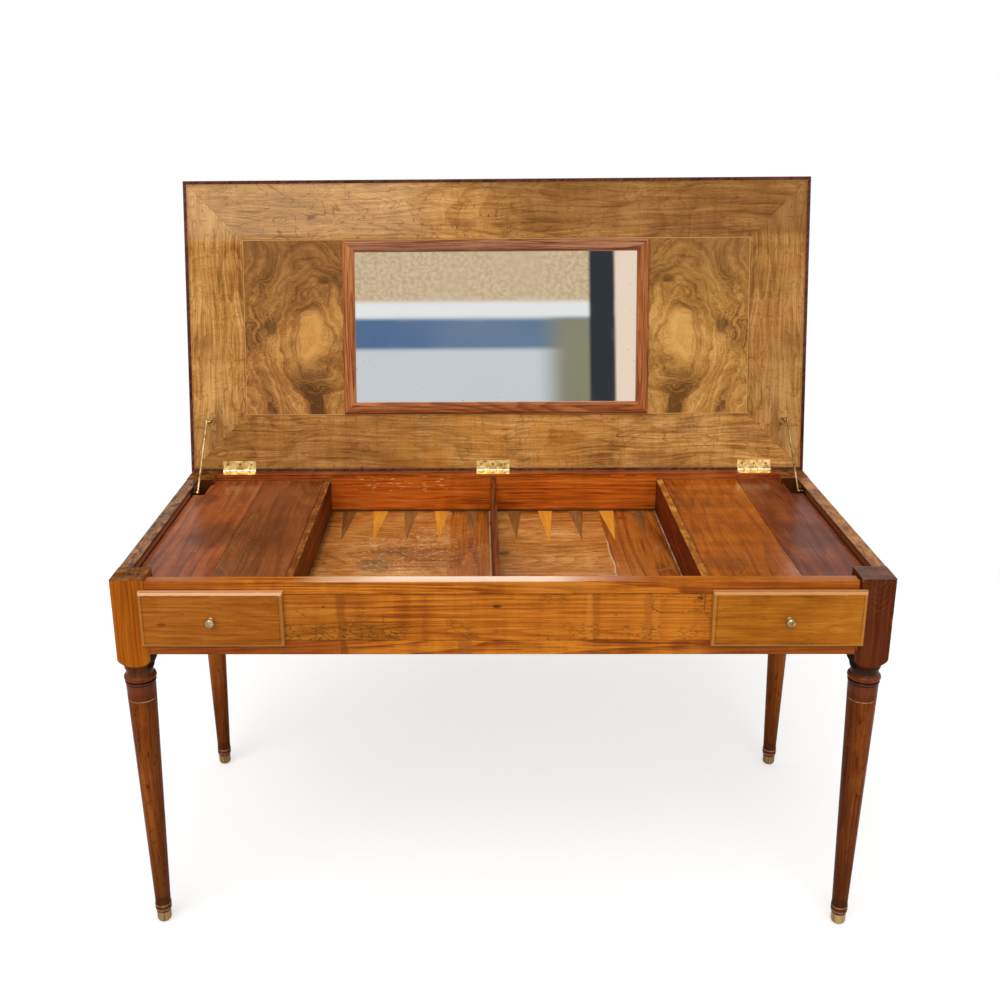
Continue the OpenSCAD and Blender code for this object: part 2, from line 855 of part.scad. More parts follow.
module drawer_left_front() {
    color("goldenrod") in_case() drawer_front(left);
}

module drawer_left_side_outer() {
    color("tan") in_case() grooved_side(left, drawer_out - side_t);
}

module drawer_left_side_inner() {
    color("tan") in_case() grooved_side(left, drawer_at(left));
}

module drawer_left_back() {
    color("tan") in_case() drawer_back(left);
}

module drawer_left_bottom() {
    color("burlywood") in_case() drawer_bottom_panel(left);
}

module drawer_left_knob() {
    color("darkgoldenrod") in_case() knob(left);
}

module drawer_right_front() {
    color("goldenrod") in_case() drawer_front(right);
}

module drawer_right_side_outer() {
    color("tan") in_case() grooved_side(right, drawer_out - side_t);
}

module drawer_right_side_inner() {
    color("tan") in_case() grooved_side(right, drawer_at(right));
}

module drawer_right_back() {
    color("tan") in_case() drawer_back(right);
}

module drawer_right_bottom() {
    color("burlywood") in_case() drawer_bottom_panel(right);
}

module drawer_right_knob() {
    color("darkgoldenrod") in_case() knob(right);
}

// The lid, measured from the hinge axis when closed: its inner face looks down

// One mitred strip of a frame about the lid's middle: 0 back, 1 right, 2 front, 3 left
module mitred_strip(w, d, strip_w, i) {
    along = i % 2 == 0 ? w : d;
    out = i % 2 == 0 ? d / 2 : w / 2;
    cut = joint_gap / 2;
    rotate([0, 0, -90 * i])
        polygon([[-along / 2 + cut, out], [along / 2 - cut, out],
            [along / 2 - strip_w - cut, out - strip_w], [-along / 2 + strip_w + cut, out - strip_w]]);
}

// A whole mitred frame of four strips, which do not touch
module mitred_frame(w, d, strip_w, z0, z1) {
    for (i = [0 : 3])
        translate([0, lid_mid, z0]) linear_extrude(z1 - z0) mitred_strip(w, d, strip_w, i);
}

// The recess for the mirror glass and its backing
module mirror_recess(clear, z0, z1) {
    w = mirror_w / 2 - frame_seat - clear;
    d = inner_d / 2 - frame_seat - clear;
    box([-w, lid_mid - d, z0], [w, lid_mid + d, z1]);
}

module lid_hardware_cuts() {
    lid_leaf_seats();
    lid_hinge_screws();
    plate_screws(left);
    plate_screws(right);
}

module lid_core() {
    core_w = lid_w / 2 - edging_w;
    core_d = lid_d / 2 - edging_w;
    color("sienna") on_lid() difference() {
        box([-core_w, lid_mid - core_d, lid_z + veneer_t], [core_w, lid_mid + core_d, lid_z + lid_t]);
        mirror_recess(0, lid_z - eps, lid_z + recess_t);
        lid_hardware_cuts();
    }
}

module lid_edging() {
    color("brown") on_lid() difference() {
        mitred_frame(lid_w, lid_d, edging_w, lid_z, lid_z + lid_t);
        knuckle_room();
        lid_hardware_cuts();
    }
}

module lid_border() {
    color("peru") on_lid() difference() {
        mitred_frame(lid_w - 2 * edging_w, lid_d - 2 * edging_w, border_w - edging_w,
            lid_z, lid_z + veneer_t);
        lid_hardware_cuts();
    }
}

module burr_panel(sx) {
    x0 = mirror_w / 2 + joint_gap;
    x1 = inner_w / 2 - joint_gap;
    d = inner_d / 2 - joint_gap;
    side_box(sx, x0, x1, lid_mid - d, lid_mid + d, lid_z, lid_z + veneer_t);
}

module lid_burr_left() {
    color("saddlebrown") on_lid() burr_panel(left);
}

module lid_burr_right() {
    color("saddlebrown") on_lid() burr_panel(right);
}

module mirror_backing() {
    color("tan") on_lid() mirror_recess(glass_clear, lid_z + glass_t, lid_z + recess_t);
}

module mirror_glass() {
    color("lightsteelblue") on_lid() mirror_recess(glass_clear, lid_z, lid_z + glass_t);
}

// Section of the mirror frame's moulding: outer edge at zero, height towards the room
module frame_section() {
    edge_h = frame_t * 0.3;
    outer_r = frame_t * 0.55;
    inner_r = frame_t * 0.8;
    quirk = 1;
    polygon(concat([[joint_gap, -veneer_t], [joint_gap, edge_h]],
        arc([joint_gap + quirk + outer_r, frame_t - outer_r], outer_r, 180, 90, 6),
        arc([frame_w - inner_r, frame_t - inner_r], inner_r, 90, 0, 8),
        [[frame_w, 0], [frame_seat + joint_gap, 0], [frame_seat + joint_gap, -veneer_t]]));
}

// One side of the mirror frame: 0 back, 1 right, 2 front, 3 left
module mirror_frame_side(i) {
    along = i % 2 == 0 ? mirror_w : inner_d;
    out = i % 2 == 0 ? inner_d / 2 : mirror_w / 2;
    translate([0, lid_mid, lid_z]) intersection() {
        rotate([0, 0, -90 * i]) translate([-along / 2, out, 0]) rotate([90, 0, 90])
            linear_extrude(along) rotate(180) frame_section();
        translate([0, 0, -frame_t - 1]) linear_extrude(frame_t + veneer_t + 2)
            mitred_strip(mirror_w, inner_d, frame_w, i);
    }
}

module mirror_frame_top() {
    color("sienna") on_lid() mirror_frame_side(2);
}

module mirror_frame_bottom() {
    color("sienna") on_lid() mirror_frame_side(0);
}

module mirror_frame_left() {
    color("sienna") on_lid() mirror_frame_side(3);
}

module mirror_frame_right() {
    color("sienna") on_lid() mirror_frame_side(1);
}

// Hinges, measured from the hinge axis

function knuckle_x(i) = -hinge_l / 2 + i * (knuckle_l + knuckle_gap);

// A leaf with its knuckles: every second one from the first, its plate between two heights
module leaf(first, bore_r, z0) {
    difference() {
        union() {
            box([-hinge_l / 2, -leaf_from - leaf_w, z0], [hinge_l / 2, -leaf_from, z0 + leaf_t]);
            for (i = [first : 2 : knuckles - 1]) {
                box([knuckle_x(i), -leaf_from - eps, z0],
                    [knuckle_x(i) + knuckle_l, 0, z0 + leaf_t]);
                translate([knuckle_x(i), 0, 0]) rotate([0, 90, 0])
                    cylinder(r = knuckle_r, h = knuckle_l);
            }
        }
        translate([-hinge_l, 0, 0]) rotate([0, 90, 0]) cylinder(r = bore_r, h = 2 * hinge_l);
    }
}

// Where a leaf is let into the wood
module leaf_seat(z0) {
    box([-hinge_l / 2, -leaf_from - leaf_w, z0], [hinge_l / 2, eps, z0 + leaf_t]);
}

// Hollows in the wood along the three hinges, in which the knuckles turn
module knuckle_room() {
    room_l = hinge_l + 2 * knuckle_clear;
    for (x = hinge_places) translate([x - room_l / 2, 0, 0]) rotate([0, 90, 0])
        cylinder(r = leaf_from, h = room_l);
}

// The three screws of a leaf, with heads flush in it and shanks pointing up or down
module leaf_screws(z_head, z_point) {
    for (i = [-1 : 1])
        translate([i * hinge_l * screw_spread, -leaf_from - leaf_w * screw_at, 0])
            screw(z_head, z_point);
}

// A screw between the height of its head's face and that of its point
module screw(z_head, z_point) {
    up = z_point > z_head ? 1 : -1;
    translate([0, 0, up > 0 ? z_head : z_head - leaf_t]) cylinder(r = screw_r, h = leaf_t);
    translate([0, 0, min(z_head, z_point)]) cylinder(r = shank_r, h = abs(z_point - z_head));
}

module case_leaf_seats() {
    for (x = hinge_places) translate([x, hinge_y, hinge_z]) leaf_seat(case_leaf_z);
}

module case_hinge_screws() {
    for (x = hinge_places) translate([x, hinge_y, hinge_z])
        leaf_screws(case_screw_z, case_screw_z - screw_l);
}

module lid_leaf_seats() {
    for (x = hinge_places) translate([x, 0, 0]) leaf_seat(lid_z);
}

module lid_hinge_screws() {
    for (x = hinge_places) translate([x, 0, 0]) leaf_screws(lid_z, lid_z + screw_l);
}

module hinge_case_leaves() {
    color("goldenrod") in_case() difference() {
        for (x = hinge_places) translate([x, hinge_y, hinge_z]) leaf(0, pin_r, case_leaf_z);
        case_hinge_screws();
    }
}

module hinge_lid_leaves() {
    color("goldenrod") on_lid() difference() {
        for (x = hinge_places) translate([x, 0, 0]) leaf(1, pin_r + pin_clear, lid_z);
        lid_hinge_screws();
    }
}

module hinge_pins() {
    color("darkgoldenrod") in_case() for (x = hinge_places)
        translate([x - hinge_l / 2, hinge_y, hinge_z]) rotate([0, 90, 0])
            cylinder(r = pin_r, h = hinge_l);
}

module case_screws() {
    color("darkgoldenrod") in_case() {
        case_hinge_screws();
        bracket_screws(left);
        bracket_screws(right);
    }
}

module lid_screws() {
    color("darkgoldenrod") on_lid() {
        lid_hinge_screws();
        plate_screws(left);
        plate_screws(right);
    }
}

// Stays that hold the open lid

// A stay lying along X from its eye at the origin, with its hook over the stud below the line
module stay_flat() {
    shank_start = (stay_pin_r + pin_clear + eye_r) / 2;
    difference() {
        union() {
            cylinder(r = eye_r, h = eye_t, center = true);
            translate([shank_start, 0, 0]) rotate([0, 90, 0])
                cylinder(r = rod_r, h = rod_l - shank_start + hook_wire_r / 4);
        }
        cylinder(r = stay_pin_r + pin_clear, h = 4 * rod_r, center = true);
    }
    translate([rod_l, -hook_r, 0]) {
        rotate([0, 0, hook_end]) rotate_extrude(angle = 90 - hook_end)
            translate([hook_r, 0]) circle(r = hook_wire_r);
        rotate([0, 0, hook_end]) translate([hook_r, 0, 0]) sphere(r = hook_ball_r);
    }
}

module stay_rod(sx) {
    translate([sx * stay_x, hinge_y - pivot_v, hinge_z + pivot_h])
        rotate([90, 0, 90]) rotate([0, 0, stay_angle]) stay_flat();
}

// A cylinder along X on one side of the case, between two distances from the middle
module cross_pin(sx, r, x0, x1) {
    translate([sx > 0 ? x0 : -x1, 0, 0]) rotate([0, 90, 0]) cylinder(r = r, h = x1 - x0);
}

// The plate on the lid's inner face with the post and stud that the stay hooks over
module stay_plate(sx) {
    post_out = stay_x - rod_r - stay_side_clear;
    stud_out = stay_x + rod_r + stay_side_clear;
    difference() {
        side_box(sx, post_out - plate_w, post_out, -stud_v - plate_l / 2, -stud_v + plate_l / 2,
            lid_z - plate_t, lid_z);
        plate_screws(sx);
    }
    translate([0, -stud_v, stud_h]) {
        side_box(sx, post_out - stud_post_w, post_out, -stay_head_r, stay_head_r,
            0, stud_off - plate_t + eps);
        cross_pin(sx, stay_head_r, post_out - stud_post_w, post_out);
        cross_pin(sx, stud_r, post_out - eps, stud_out + eps);
        cross_pin(sx, stay_head_r, stud_out, stud_out + stay_head_t);
    }
}

// Screws of the stay's plate on the lid, beside the stud's post
module plate_screws(sx) {
    x = stay_x - rod_r - stay_side_clear - plate_w / 2;
    for (end = [-1, 1])
        translate([sx * x, -stud_v + end * (plate_l / 2 - screw_r - plate_screw_edge), 0])
            screw(lid_z - plate_t, lid_z + screw_l);
}

// The bracket on the side rail with the pin that the stay turns on
module stay_bracket(sx) {
    pin_end = stay_x - rod_r - stay_side_clear;
    boss_in = stay_x + rod_r + stay_side_clear;
    translate([0, hinge_y - pivot_v, hinge_z + pivot_h]) difference() {
        union() {
            side_box(sx, side_in - plate_t, side_in, -bracket_l / 2, bracket_l / 2,
                -bracket_h / 2, bracket_h / 2);
            cross_pin(sx, stay_head_r, boss_in, side_in - plate_t + eps);
            cross_pin(sx, stay_pin_r, pin_end - eps, boss_in + eps);
            cross_pin(sx, stay_head_r, pin_end - stay_head_t, pin_end);
        }
        translate([0, -hinge_y + pivot_v, -hinge_z - pivot_h]) bracket_screws(sx);
    }
}

// Screws of the bracket into the side rail
module bracket_screws(sx) {
    for (end = [-1, 1])
        translate([sx * side_in,
            hinge_y - pivot_v + end * (bracket_l / 2 - screw_r - bracket_screw_edge),
            hinge_z + pivot_h])
            rotate([0, sx * 90, 0]) translate([0, 0, -plate_t]) {
                cylinder(r = screw_r, h = plate_t);
                cylinder(r = shank_r, h = screw_l);
            }
}

module stay_rod_left() {
    color("darkgoldenrod") in_case() stay_rod(left);
}

module stay_rod_right() {
    color("darkgoldenrod") in_case() stay_rod(right);
}

module stay_plate_left() {
    color("darkgoldenrod") on_lid() stay_plate(left);
}

module stay_plate_right() {
    color("darkgoldenrod") on_lid() stay_plate(right);
}

module stay_bracket_left() {
    color("darkgoldenrod") in_case() stay_bracket(left);
}

module stay_bracket_right() {
    color("darkgoldenrod") in_case() stay_bracket(right);
}

leg_front_left();
leg_front_right();
leg_back_left();
leg_back_right();
foot_caps();
front_top_rail();
front_bottom_rail();
front_panel();
back_rail();
side_rail_left();
side_rail_right();
well_floor();
well_wall_left();
well_wall_right();
well_lining();
centre_divider();
points_light();
points_dark();
glue_blocks();
cover_left_inner();
cover_left_outer();
cover_right_inner();
cover_right_outer();
cover_bearers();
drawer_runners();
drawer_left_front();
drawer_left_side_outer();
drawer_left_side_inner();
drawer_left_back();
drawer_left_bottom();
drawer_left_knob();
drawer_right_front();
drawer_right_side_outer();
drawer_right_side_inner();
drawer_right_back();
drawer_right_bottom();
drawer_right_knob();
lid_core();
lid_edging();
lid_border();
lid_burr_left();
lid_burr_right();
mirror_backing();
mirror_glass();
mirror_frame_top();
mirror_frame_bottom();
mirror_frame_left();
mirror_frame_right();
hinge_case_leaves();
hinge_lid_leaves();
hinge_pins();
case_screws();
lid_screws();
stay_rod_left();
stay_rod_right();
stay_plate_left();
stay_plate_right();
stay_bracket_left();
stay_bracket_right();
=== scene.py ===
"""Looks of the games table: materials, softened edges, room, lights and camera."""

import json
import math

import bpy
from mathutils import Matrix, Vector


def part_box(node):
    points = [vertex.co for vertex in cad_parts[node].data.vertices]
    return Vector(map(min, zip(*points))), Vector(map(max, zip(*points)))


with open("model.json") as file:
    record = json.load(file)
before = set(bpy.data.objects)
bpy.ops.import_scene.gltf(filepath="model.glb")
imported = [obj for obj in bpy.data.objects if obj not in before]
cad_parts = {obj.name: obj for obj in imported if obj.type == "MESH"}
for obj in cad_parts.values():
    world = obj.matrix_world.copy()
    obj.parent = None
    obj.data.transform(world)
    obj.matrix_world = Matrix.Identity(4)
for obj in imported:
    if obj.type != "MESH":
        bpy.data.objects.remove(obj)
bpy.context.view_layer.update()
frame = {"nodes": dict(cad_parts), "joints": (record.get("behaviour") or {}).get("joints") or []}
nodes = frame["nodes"]
joints = {j["name"]: j for j in frame["joints"]}

# Places on the table, in metres, read from the frame
HINGE = Vector(joints["lid_hinge"]["pos_m"])
LID_OPEN = math.radians(joints["lid_hinge"]["range_deg"][1])
LID_TURN = LID_OPEN - math.pi
TO_LID = Matrix.Rotation(LID_TURN, 4, "X") @ Matrix.Translation(-HINGE)
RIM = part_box("leg_front_left")[1].z
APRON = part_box("front_bottom_rail")[0].z
CASE_Y = (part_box("leg_front_left")[0].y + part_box("leg_back_left")[1].y) / 2
STAY_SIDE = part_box("side_rail_right")[0].x
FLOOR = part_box("well_floor")[1].z
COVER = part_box("cover_left_inner")[1].z

# Heights on the legs: where the turning begins, the grooves of the collar, and the pale rings
NECK = RIM - 0.178
GROOVES = (NECK - 0.0195, NECK - 0.0245)
RING = NECK - 0.0555
FOOT_RINGS = (0.038, 0.0285)
FOOT_CAP = 0.034

# The camera as fitted to the photograph: its place from the case's middle and rim, its yaw, pitch and
# roll in degrees, and its focal length and centre as shares of the picture's width
CAMERA_FROM = (-0.0334, -2.1458, 0.7612)
CAMERA_TURNS = (-1.118, 17.888, -0.518)
FOCAL = 1.18408
CENTRE = (0.45843, 0.48422)

# The room: its light, the floor's grey and glow, where the floor turns white, and the card's place
ROOM_LIGHT = 0.55
FLOOR_GREY = 0.62
FLOOR_GLOW = 0.52
WHITE_FROM, WHITE_AT = 1.1, 2.2
CARD_Y = -5.5

MM = 0.001
WARM = (1.0, 0.78, 0.5, 1.0)
METAL = dict(metal=1.0, level=0.5, coat=0.0, tint=(1.0, 1.0, 1.0, 1.0))
CHERRY = ((136, 64, 14), (192, 106, 24), (220, 142, 46))
# The colour of the painted shade in the corners of the well
CORNER_SHADE = (52, 34, 20)


def lid_box(node):
    """Corners of a lid node in the lid's own directions: across, up from the hinge, out of its inner face."""
    points = [TO_LID @ v.co for v in nodes[node].data.vertices]
    return [Vector([end(p[i] for p in points) for i in range(3)]) for end in (min, max)]


def srgb(colour):
    """A colour with parts from 0 to 255, as the shader wants it."""
    def linear(c):
        c /= 255
        return c / 12.92 if c <= 0.04045 else ((c + 0.055) / 1.055) ** 2.4
    return (*(linear(c) for c in colour), 1.0)


class Shader:
    """A node tree while it is made, and the sums that its parts need.

    Values are sockets, numbers or vectors. Three numbers on a colour socket are a colour from 0 to 255.
    """

    def __init__(self, owner):
        owner.use_nodes = True
        self.tree = owner.node_tree
        self.tree.nodes.clear()

    def plug(self, socket, value):
        if isinstance(value, bpy.types.NodeSocket):
            self.tree.links.new(value, socket)
        elif socket.type == "RGBA" and len(value) == 3:
            socket.default_value = srgb(value)
        else:
            socket.default_value = value

    def node(self, kind, inputs=None, **props):
        made = self.tree.nodes.new(kind)
        for key, value in props.items():
            setattr(made, key, value)
        for key, value in (inputs or {}).items():
            self.plug(made.inputs[key], value)
        return made

    def math(self, op, a, b=0.0, clamp=False):
        return self.node("ShaderNodeMath", {0: a, 1: b}, operation=op, use_clamp=clamp).outputs[0]

    def fract(self, value, count):
        """Saw teeth: the rest after the whole part of a value times a count."""
        return self.math("FRACT", self.mul(value, count))

    def fold(self, op, total, *terms):
        """One operation run through all the terms, from the left."""
        for term in terms:
            total = self.math(op, total, term)
        return total

    def add(self, *terms):
        return self.fold("ADD", *terms)

    def sub(self, a, b):
        return self.math("SUBTRACT", a, b)

    def mul(self, *terms):
        return self.fold("MULTIPLY", *terms)

    def least(self, *terms):
        return self.fold("MINIMUM", *terms)

    def most(self, *terms):
        return self.fold("MAXIMUM", *terms)

    def abs(self, value):
        return self.math("ABSOLUTE", value)

    def swing(self, value, reach):
        """A value about one half, brought about zero and scaled."""
        return self.mul(self.sub(value, 0.5), reach)

    def vec(self, op, a, b):
        return self.node("ShaderNodeVectorMath", {0: a, 1: b}, operation=op).outputs[0]

    def join(self, x, y, z):
        return self.node("ShaderNodeCombineXYZ", {0: x, 1: y, 2: z}).outputs[0]

    def scaled(self, at, x, y, z):
        return self.vec("MULTIPLY", at, (x, y, z))

    def moved(self, at, x, y=0.0, z=0.0):
        return self.vec("ADD", at, (x, y, z))

    def noise(self, at, scale, detail=2.0, rough=0.5, warp=0.0, out="Fac"):
        """Noise about one half, or three at once as a Color. Stretched noise has three scales."""
        if isinstance(scale, tuple):
            at, scale = self.scaled(at, *scale), 1.0
        sockets = {"Vector": at, "Scale": scale, "Detail": detail, "Roughness": rough, "Distortion": warp}
        return self.node("ShaderNodeTexNoise", sockets).outputs[out]

    def bend(self, at, by, scale, reach, detail=2.0):
        """Coordinates that wander by up to half the reach, as the noise at other ones says."""
        shift = self.vec("SUBTRACT", self.noise(by, scale, detail, out="Color"), (0.5, 0.5, 0.5))
        return self.vec("ADD", at, self.vec("MULTIPLY", shift, reach))

    def cells(self, at, scale):
        """The distance to the nearest border between cells."""
        return self.node("ShaderNodeTexVoronoi", {"Vector": at, "Scale": scale},
                         feature="DISTANCE_TO_EDGE").outputs["Distance"]

    def length(self, at):
        return self.node("ShaderNodeVectorMath", {0: at}, operation="LENGTH").outputs["Value"]

    def turned(self, at, angle):
        """Coordinates turned about the third axis, by degrees."""
        turn = (0, 0, math.radians(angle))
        return self.node("ShaderNodeMapping", {"Vector": at, "Rotation": turn}).outputs[0]

    def step(self, value, start, end, low=0.0, high=1.0):
        """Low up to the start, high from the end on, which may lie below the start."""
        sockets = {"Value": value, "From Min": start, "From Max": end, "To Min": low, "To Max": high}
        return self.node("ShaderNodeMapRange", sockets, interpolation_type="SMOOTHSTEP").outputs[0]

    def mix(self, share, a, b):
        return self.node("ShaderNodeMix", {0: share, 6: a, 7: b}, data_type="RGBA").outputs[2]

    def ramp(self, value, *stops):
        made = self.node("ShaderNodeValToRGB", {0: value})
        points = made.color_ramp.elements
        while len(points) < len(stops):
            points.new(0.5)
        for point, (place, colour) in zip(points, stops):
            point.position = place
            point.color = srgb(colour)
        return made.outputs[0]

    def band(self, value, middle, half, soft):
        """One near the middle value, zero away from it."""
        away = self.abs(self.sub(value, middle))
        return self.step(away, half + soft, half)


class Finish(Shader):
    """One material, with the colour, tone and height that it has so far."""

    def __init__(self, name):
        self.mat = bpy.data.materials.new(name)
        super().__init__(self.mat)
        self.here = self.node("ShaderNodeTexCoord").outputs["Object"]
        self.colour = self.tone = self.height = None

    def parts(self, at=None):
        return self.node("ShaderNodeSeparateXYZ", {0: at or self.here}).outputs[:]

    def ragged(self, value, reach, scale, detail=2.0):
        """A value that a noise carries up and down by about half the reach."""
        return self.add(value, self.swing(self.noise(self.here, scale, detail), reach))

    def patches(self, scale, start, end, detail=2.0, rough=0.5, warp=0.0, at=None, low=0.0, high=1.0):
        """Ragged patches, where a noise goes from the start value past the end value."""
        return self.step(self.noise(at or self.here, scale, detail, rough, warp), start, end, low, high)

    def spot(self, at, centre, size, scale):
        """A ragged patch about a centre, with its half sizes."""
        far = self.length(self.vec("DIVIDE", self.vec("SUBTRACT", at, centre), size))
        far = self.add(far, self.swing(self.noise(at, scale, 3), 1.2))
        return self.step(far, 1.1, 0.5)

    def inset(self, *sides):
        """How far inside it all a point lies, for coordinates given with their two ends."""
        return self.least(*(self.least(self.sub(c, lo), self.sub(hi, c)) for c, lo, hi in sides))

    def edge(self, box, width, at=None):
        """One along the twelve edges of a box, fading over a ragged width."""
        at = at or self.here
        x, y, z = (self.inset(side) for side in zip(self.parts(at), *box))
        middle = self.sub(self.sub(self.add(x, y, z), self.least(x, y, z)), self.most(x, y, z))
        ragged = self.swing(self.noise(at, 70, 3, 0.6), 2.5 * width)
        return self.step(self.add(middle, ragged), width, 0.0)

    def lay(self, share, shade, strength=None):
        """A coat of another colour over the one so far."""
        share = share if strength is None else self.mul(share, strength)
        self.colour = self.mix(share, self.colour, shade)

    def relief(self, more):
        """Adds to the height that the bump shows."""
        self.height = more if self.height is None else self.add(self.height, more)

    def finish(self, rough, lift=0.3, coat=0.04, coat_rough=0.14, level=0.1, metal=0.0, tint=WARM):
        sockets = {"Base Color": self.colour, "Roughness": rough, "Specular IOR Level": level,
                   "Specular Tint": tint, "Coat Weight": coat, "Coat Roughness": coat_rough,
                   "Metallic": metal}
        if self.height is not None:
            bump = {"Height": self.height, "Distance": lift * MM, "Strength": 1.0}
            sockets["Normal"] = self.node("ShaderNodeBump", bump).outputs[0]
        self.show(self.node("ShaderNodeBsdfPrincipled", sockets).outputs[0])
        return self.mat

    def emission(self, colour, strength=1.0):
        return self.node("ShaderNodeEmission", {"Color": colour, "Strength": strength}).outputs[0]

    def show(self, shader):
        self.node("ShaderNodeOutputMaterial", {"Surface": shader})


def along(f, axis, seed):
    """Coordinates whose first runs along the grain."""
    x, y, z = f.parts()
    order = {"x": (x, y, z), "y": (y, x, z), "z": (z, x, y)}[axis]
    return f.moved(f.join(*order), 3.1 * seed, 1.7 * seed, 0.9 * seed)


def wood(f, at, dark, mid, light, rings=22.0, wide=7.0, long=0.8, ring=0.3, fibre=1.4, streak=0.7,
         cloud=0.8, flame=0.0, flames=16.0, waver=0.02):
    """A board whose grain runs along the first coordinate: sets colour, tone and height."""
    x, y, z = f.parts(at)
    line = f.join(x, f.add(y, f.swing(f.noise(at, (2.5, 9, 9)), waver)), z)
    field = f.noise(line, (long, wide, wide), 1.0)
    turn = f.fract(field, rings)
    late = f.mul(f.step(turn, 0.3, 0.92), f.step(turn, 1.0, 0.93))
    fine = f.noise(line, (9, 300, 300), 4, 0.7)
    streaks = f.noise(line, (4, 120, 120), 3, 0.6)
    broad = f.noise(at, (3, 7, 7), 4, 0.55)
    tone = f.add(0.55, f.mul(late, -ring), f.swing(fine, fibre), f.swing(streaks, streak),
                 f.swing(broad, cloud))
    if flame:
        cross = f.noise(at, (flames, 2.5, 2.5), 3, 0.6)
        tone = f.add(tone, f.swing(cross, flame))
    f.tone = tone
    f.colour = f.ramp(tone, (0.1, dark), (0.5, mid), (0.9, light))
    f.height = f.add(f.mul(fine, 0.6), f.mul(late, -0.3))


def pores(f, at, deep, share=0.5, width=900.0, length=40.0):
    """Short dark pores along the grain."""
    dots = f.step(f.noise(at, (length, width, width), 2, 0.6), 0.60, 0.70)
    f.lay(dots, deep, share)


def crackle(f, at, scale, width):
    """Fine cracks in old varnish."""
    shift = f.vec("MULTIPLY", f.noise(at, scale * 0.8, 3.0, out="Color"), (0.9 / scale,) * 3)
    return f.step(f.cells(f.vec("ADD", at, shift), scale), width, width * 0.2)


def scratches(f, at, angle, share=0.66):
    """Thin straight marks in one direction of the first two coordinates, scattered in places."""
    thin = f.noise(f.turned(at, angle), (12, 420, 420), 1)
    return f.mul(f.step(thin, share, share + 0.05), f.patches(9, 0.5, 0.62, at=at))


def stroke(f, at, start, end, half):
    """A thin wavering line between two points of a plane."""
    bent = f.bend(at, at, 60, (0.004, 0.004, 0.0))
    run = Vector((end[0] - start[0], end[1] - start[1], 0.0))
    rel = f.vec("SUBTRACT", bent, (start[0], start[1], 0.0))
    part = f.node("ShaderNodeVectorMath", {0: rel, 1: run / run.length_squared},
                  operation="DOT_PRODUCT").outputs["Value"]
    foot = f.node("ShaderNodeVectorMath", {0: run, "Scale": f.math("ADD", part, 0.0, clamp=True)},
                  operation="SCALE").outputs[0]
    return f.step(f.length(f.vec("SUBTRACT", rel, foot)), half * 1.6, half * 0.5)


# Woods
def rail_wood(name, node, seed, tones=CHERRY, flame=0.7, bands=(), old=0.0, gleam=0.0):
    """Front rails and panel: old cherry with cross bands of light and dark."""
    low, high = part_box(node)
    f = Finish(name)
    at = along(f, "x", seed)
    wood(f, at, *tones, rings=26, wide=17, long=0.4, ring=0.34, waver=0.008, fibre=1.5, streak=0.9,
         cloud=0.7, flame=flame, flames=26)
    pores(f, at, (84, 36, 8), 0.5)
    x, _, z = f.parts()
    sway = f.ragged(x, 0.014, 60, 4)
    for place, half, shade, share in bands:
        f.lay(f.band(sway, place, half, half), shade, share)
    f.lay(f.edge((low, high), 2.0 * MM), (96, 44, 10), 0.45)
    if old:
        left = f.mul(f.step(z, RIM - 0.074, RIM - 0.092), f.band(x, -0.27, 0.085, 0.05),
                     f.patches(26, 0.34, 0.5))
        right = f.mul(f.step(z, RIM - 0.07, RIM - 0.10), f.band(x, 0.24, 0.12, 0.08), 0.9)
        loose = f.mul(f.patches(19, 0.56, 0.62), 0.6)
        where = f.most(left, f.mul(right, f.patches(22, 0.46, 0.58)), loose)
        cracks = f.mul(crackle(f, f.scaled(f.here, 0.5, 1, 1.6), 120, 0.07), where)
        f.lay(left, (156, 108, 32), 0.2)
        face = f.join(x, z, 0.0)
        for start, end, half in (((0.256, RIM - 0.053), (0.269, RIM - 0.061), 0.6),
                                 ((0.269, RIM - 0.061), (0.342, RIM - 0.058), 0.6),
                                 ((0.343, RIM - 0.030), (0.343, RIM - 0.057), 0.7),
                                 ((0.252, RIM - 0.031), (0.336, RIM - 0.034), 0.5),
                                 ((-0.20, RIM - 0.064), (-0.197, RIM - 0.084), 0.5),
                                 ((-0.345, RIM - 0.058), (-0.33, RIM - 0.068), 0.6)):
            cracks = f.most(cracks, f.mul(stroke(f, face, start, end, half * MM),
                                          f.patches(90, 0.36, 0.46)))
        for spot_x, down, size in ((0.336, 0.0345, 3.6), (-0.006, 0.0495, 4.6), (0.195, 0.066, 1.6),
                                   (-0.30, 0.05, 1.6)):
            knot = f.spot(f.here, (spot_x, low.y, RIM - down), (size * 1.8 * MM, 0.02, size * MM),
                          scale=110)
            f.lay(knot, (74, 34, 10), 0.85)
        f.lay(cracks, (84, 48, 12), old)
        f.relief(f.mul(cracks, -0.8))
    rough = f.step(f.tone, 0.2, 0.9, 0.34, 0.24)
    # Painted highlight: a pale strip along the middle of the top face, where the gleam also raises the coat
    shine = f.mul(f.step(z, high.z - 1.4 * MM, high.z - 0.6 * MM), f.band(x, -0.10, 0.17, 0.09))
    f.lay(shine, (240, 194, 152), gleam)
    return f.finish(rough, lift=0.12, coat=f.add(0.03, f.mul(shine, gleam)), coat_rough=0.35)


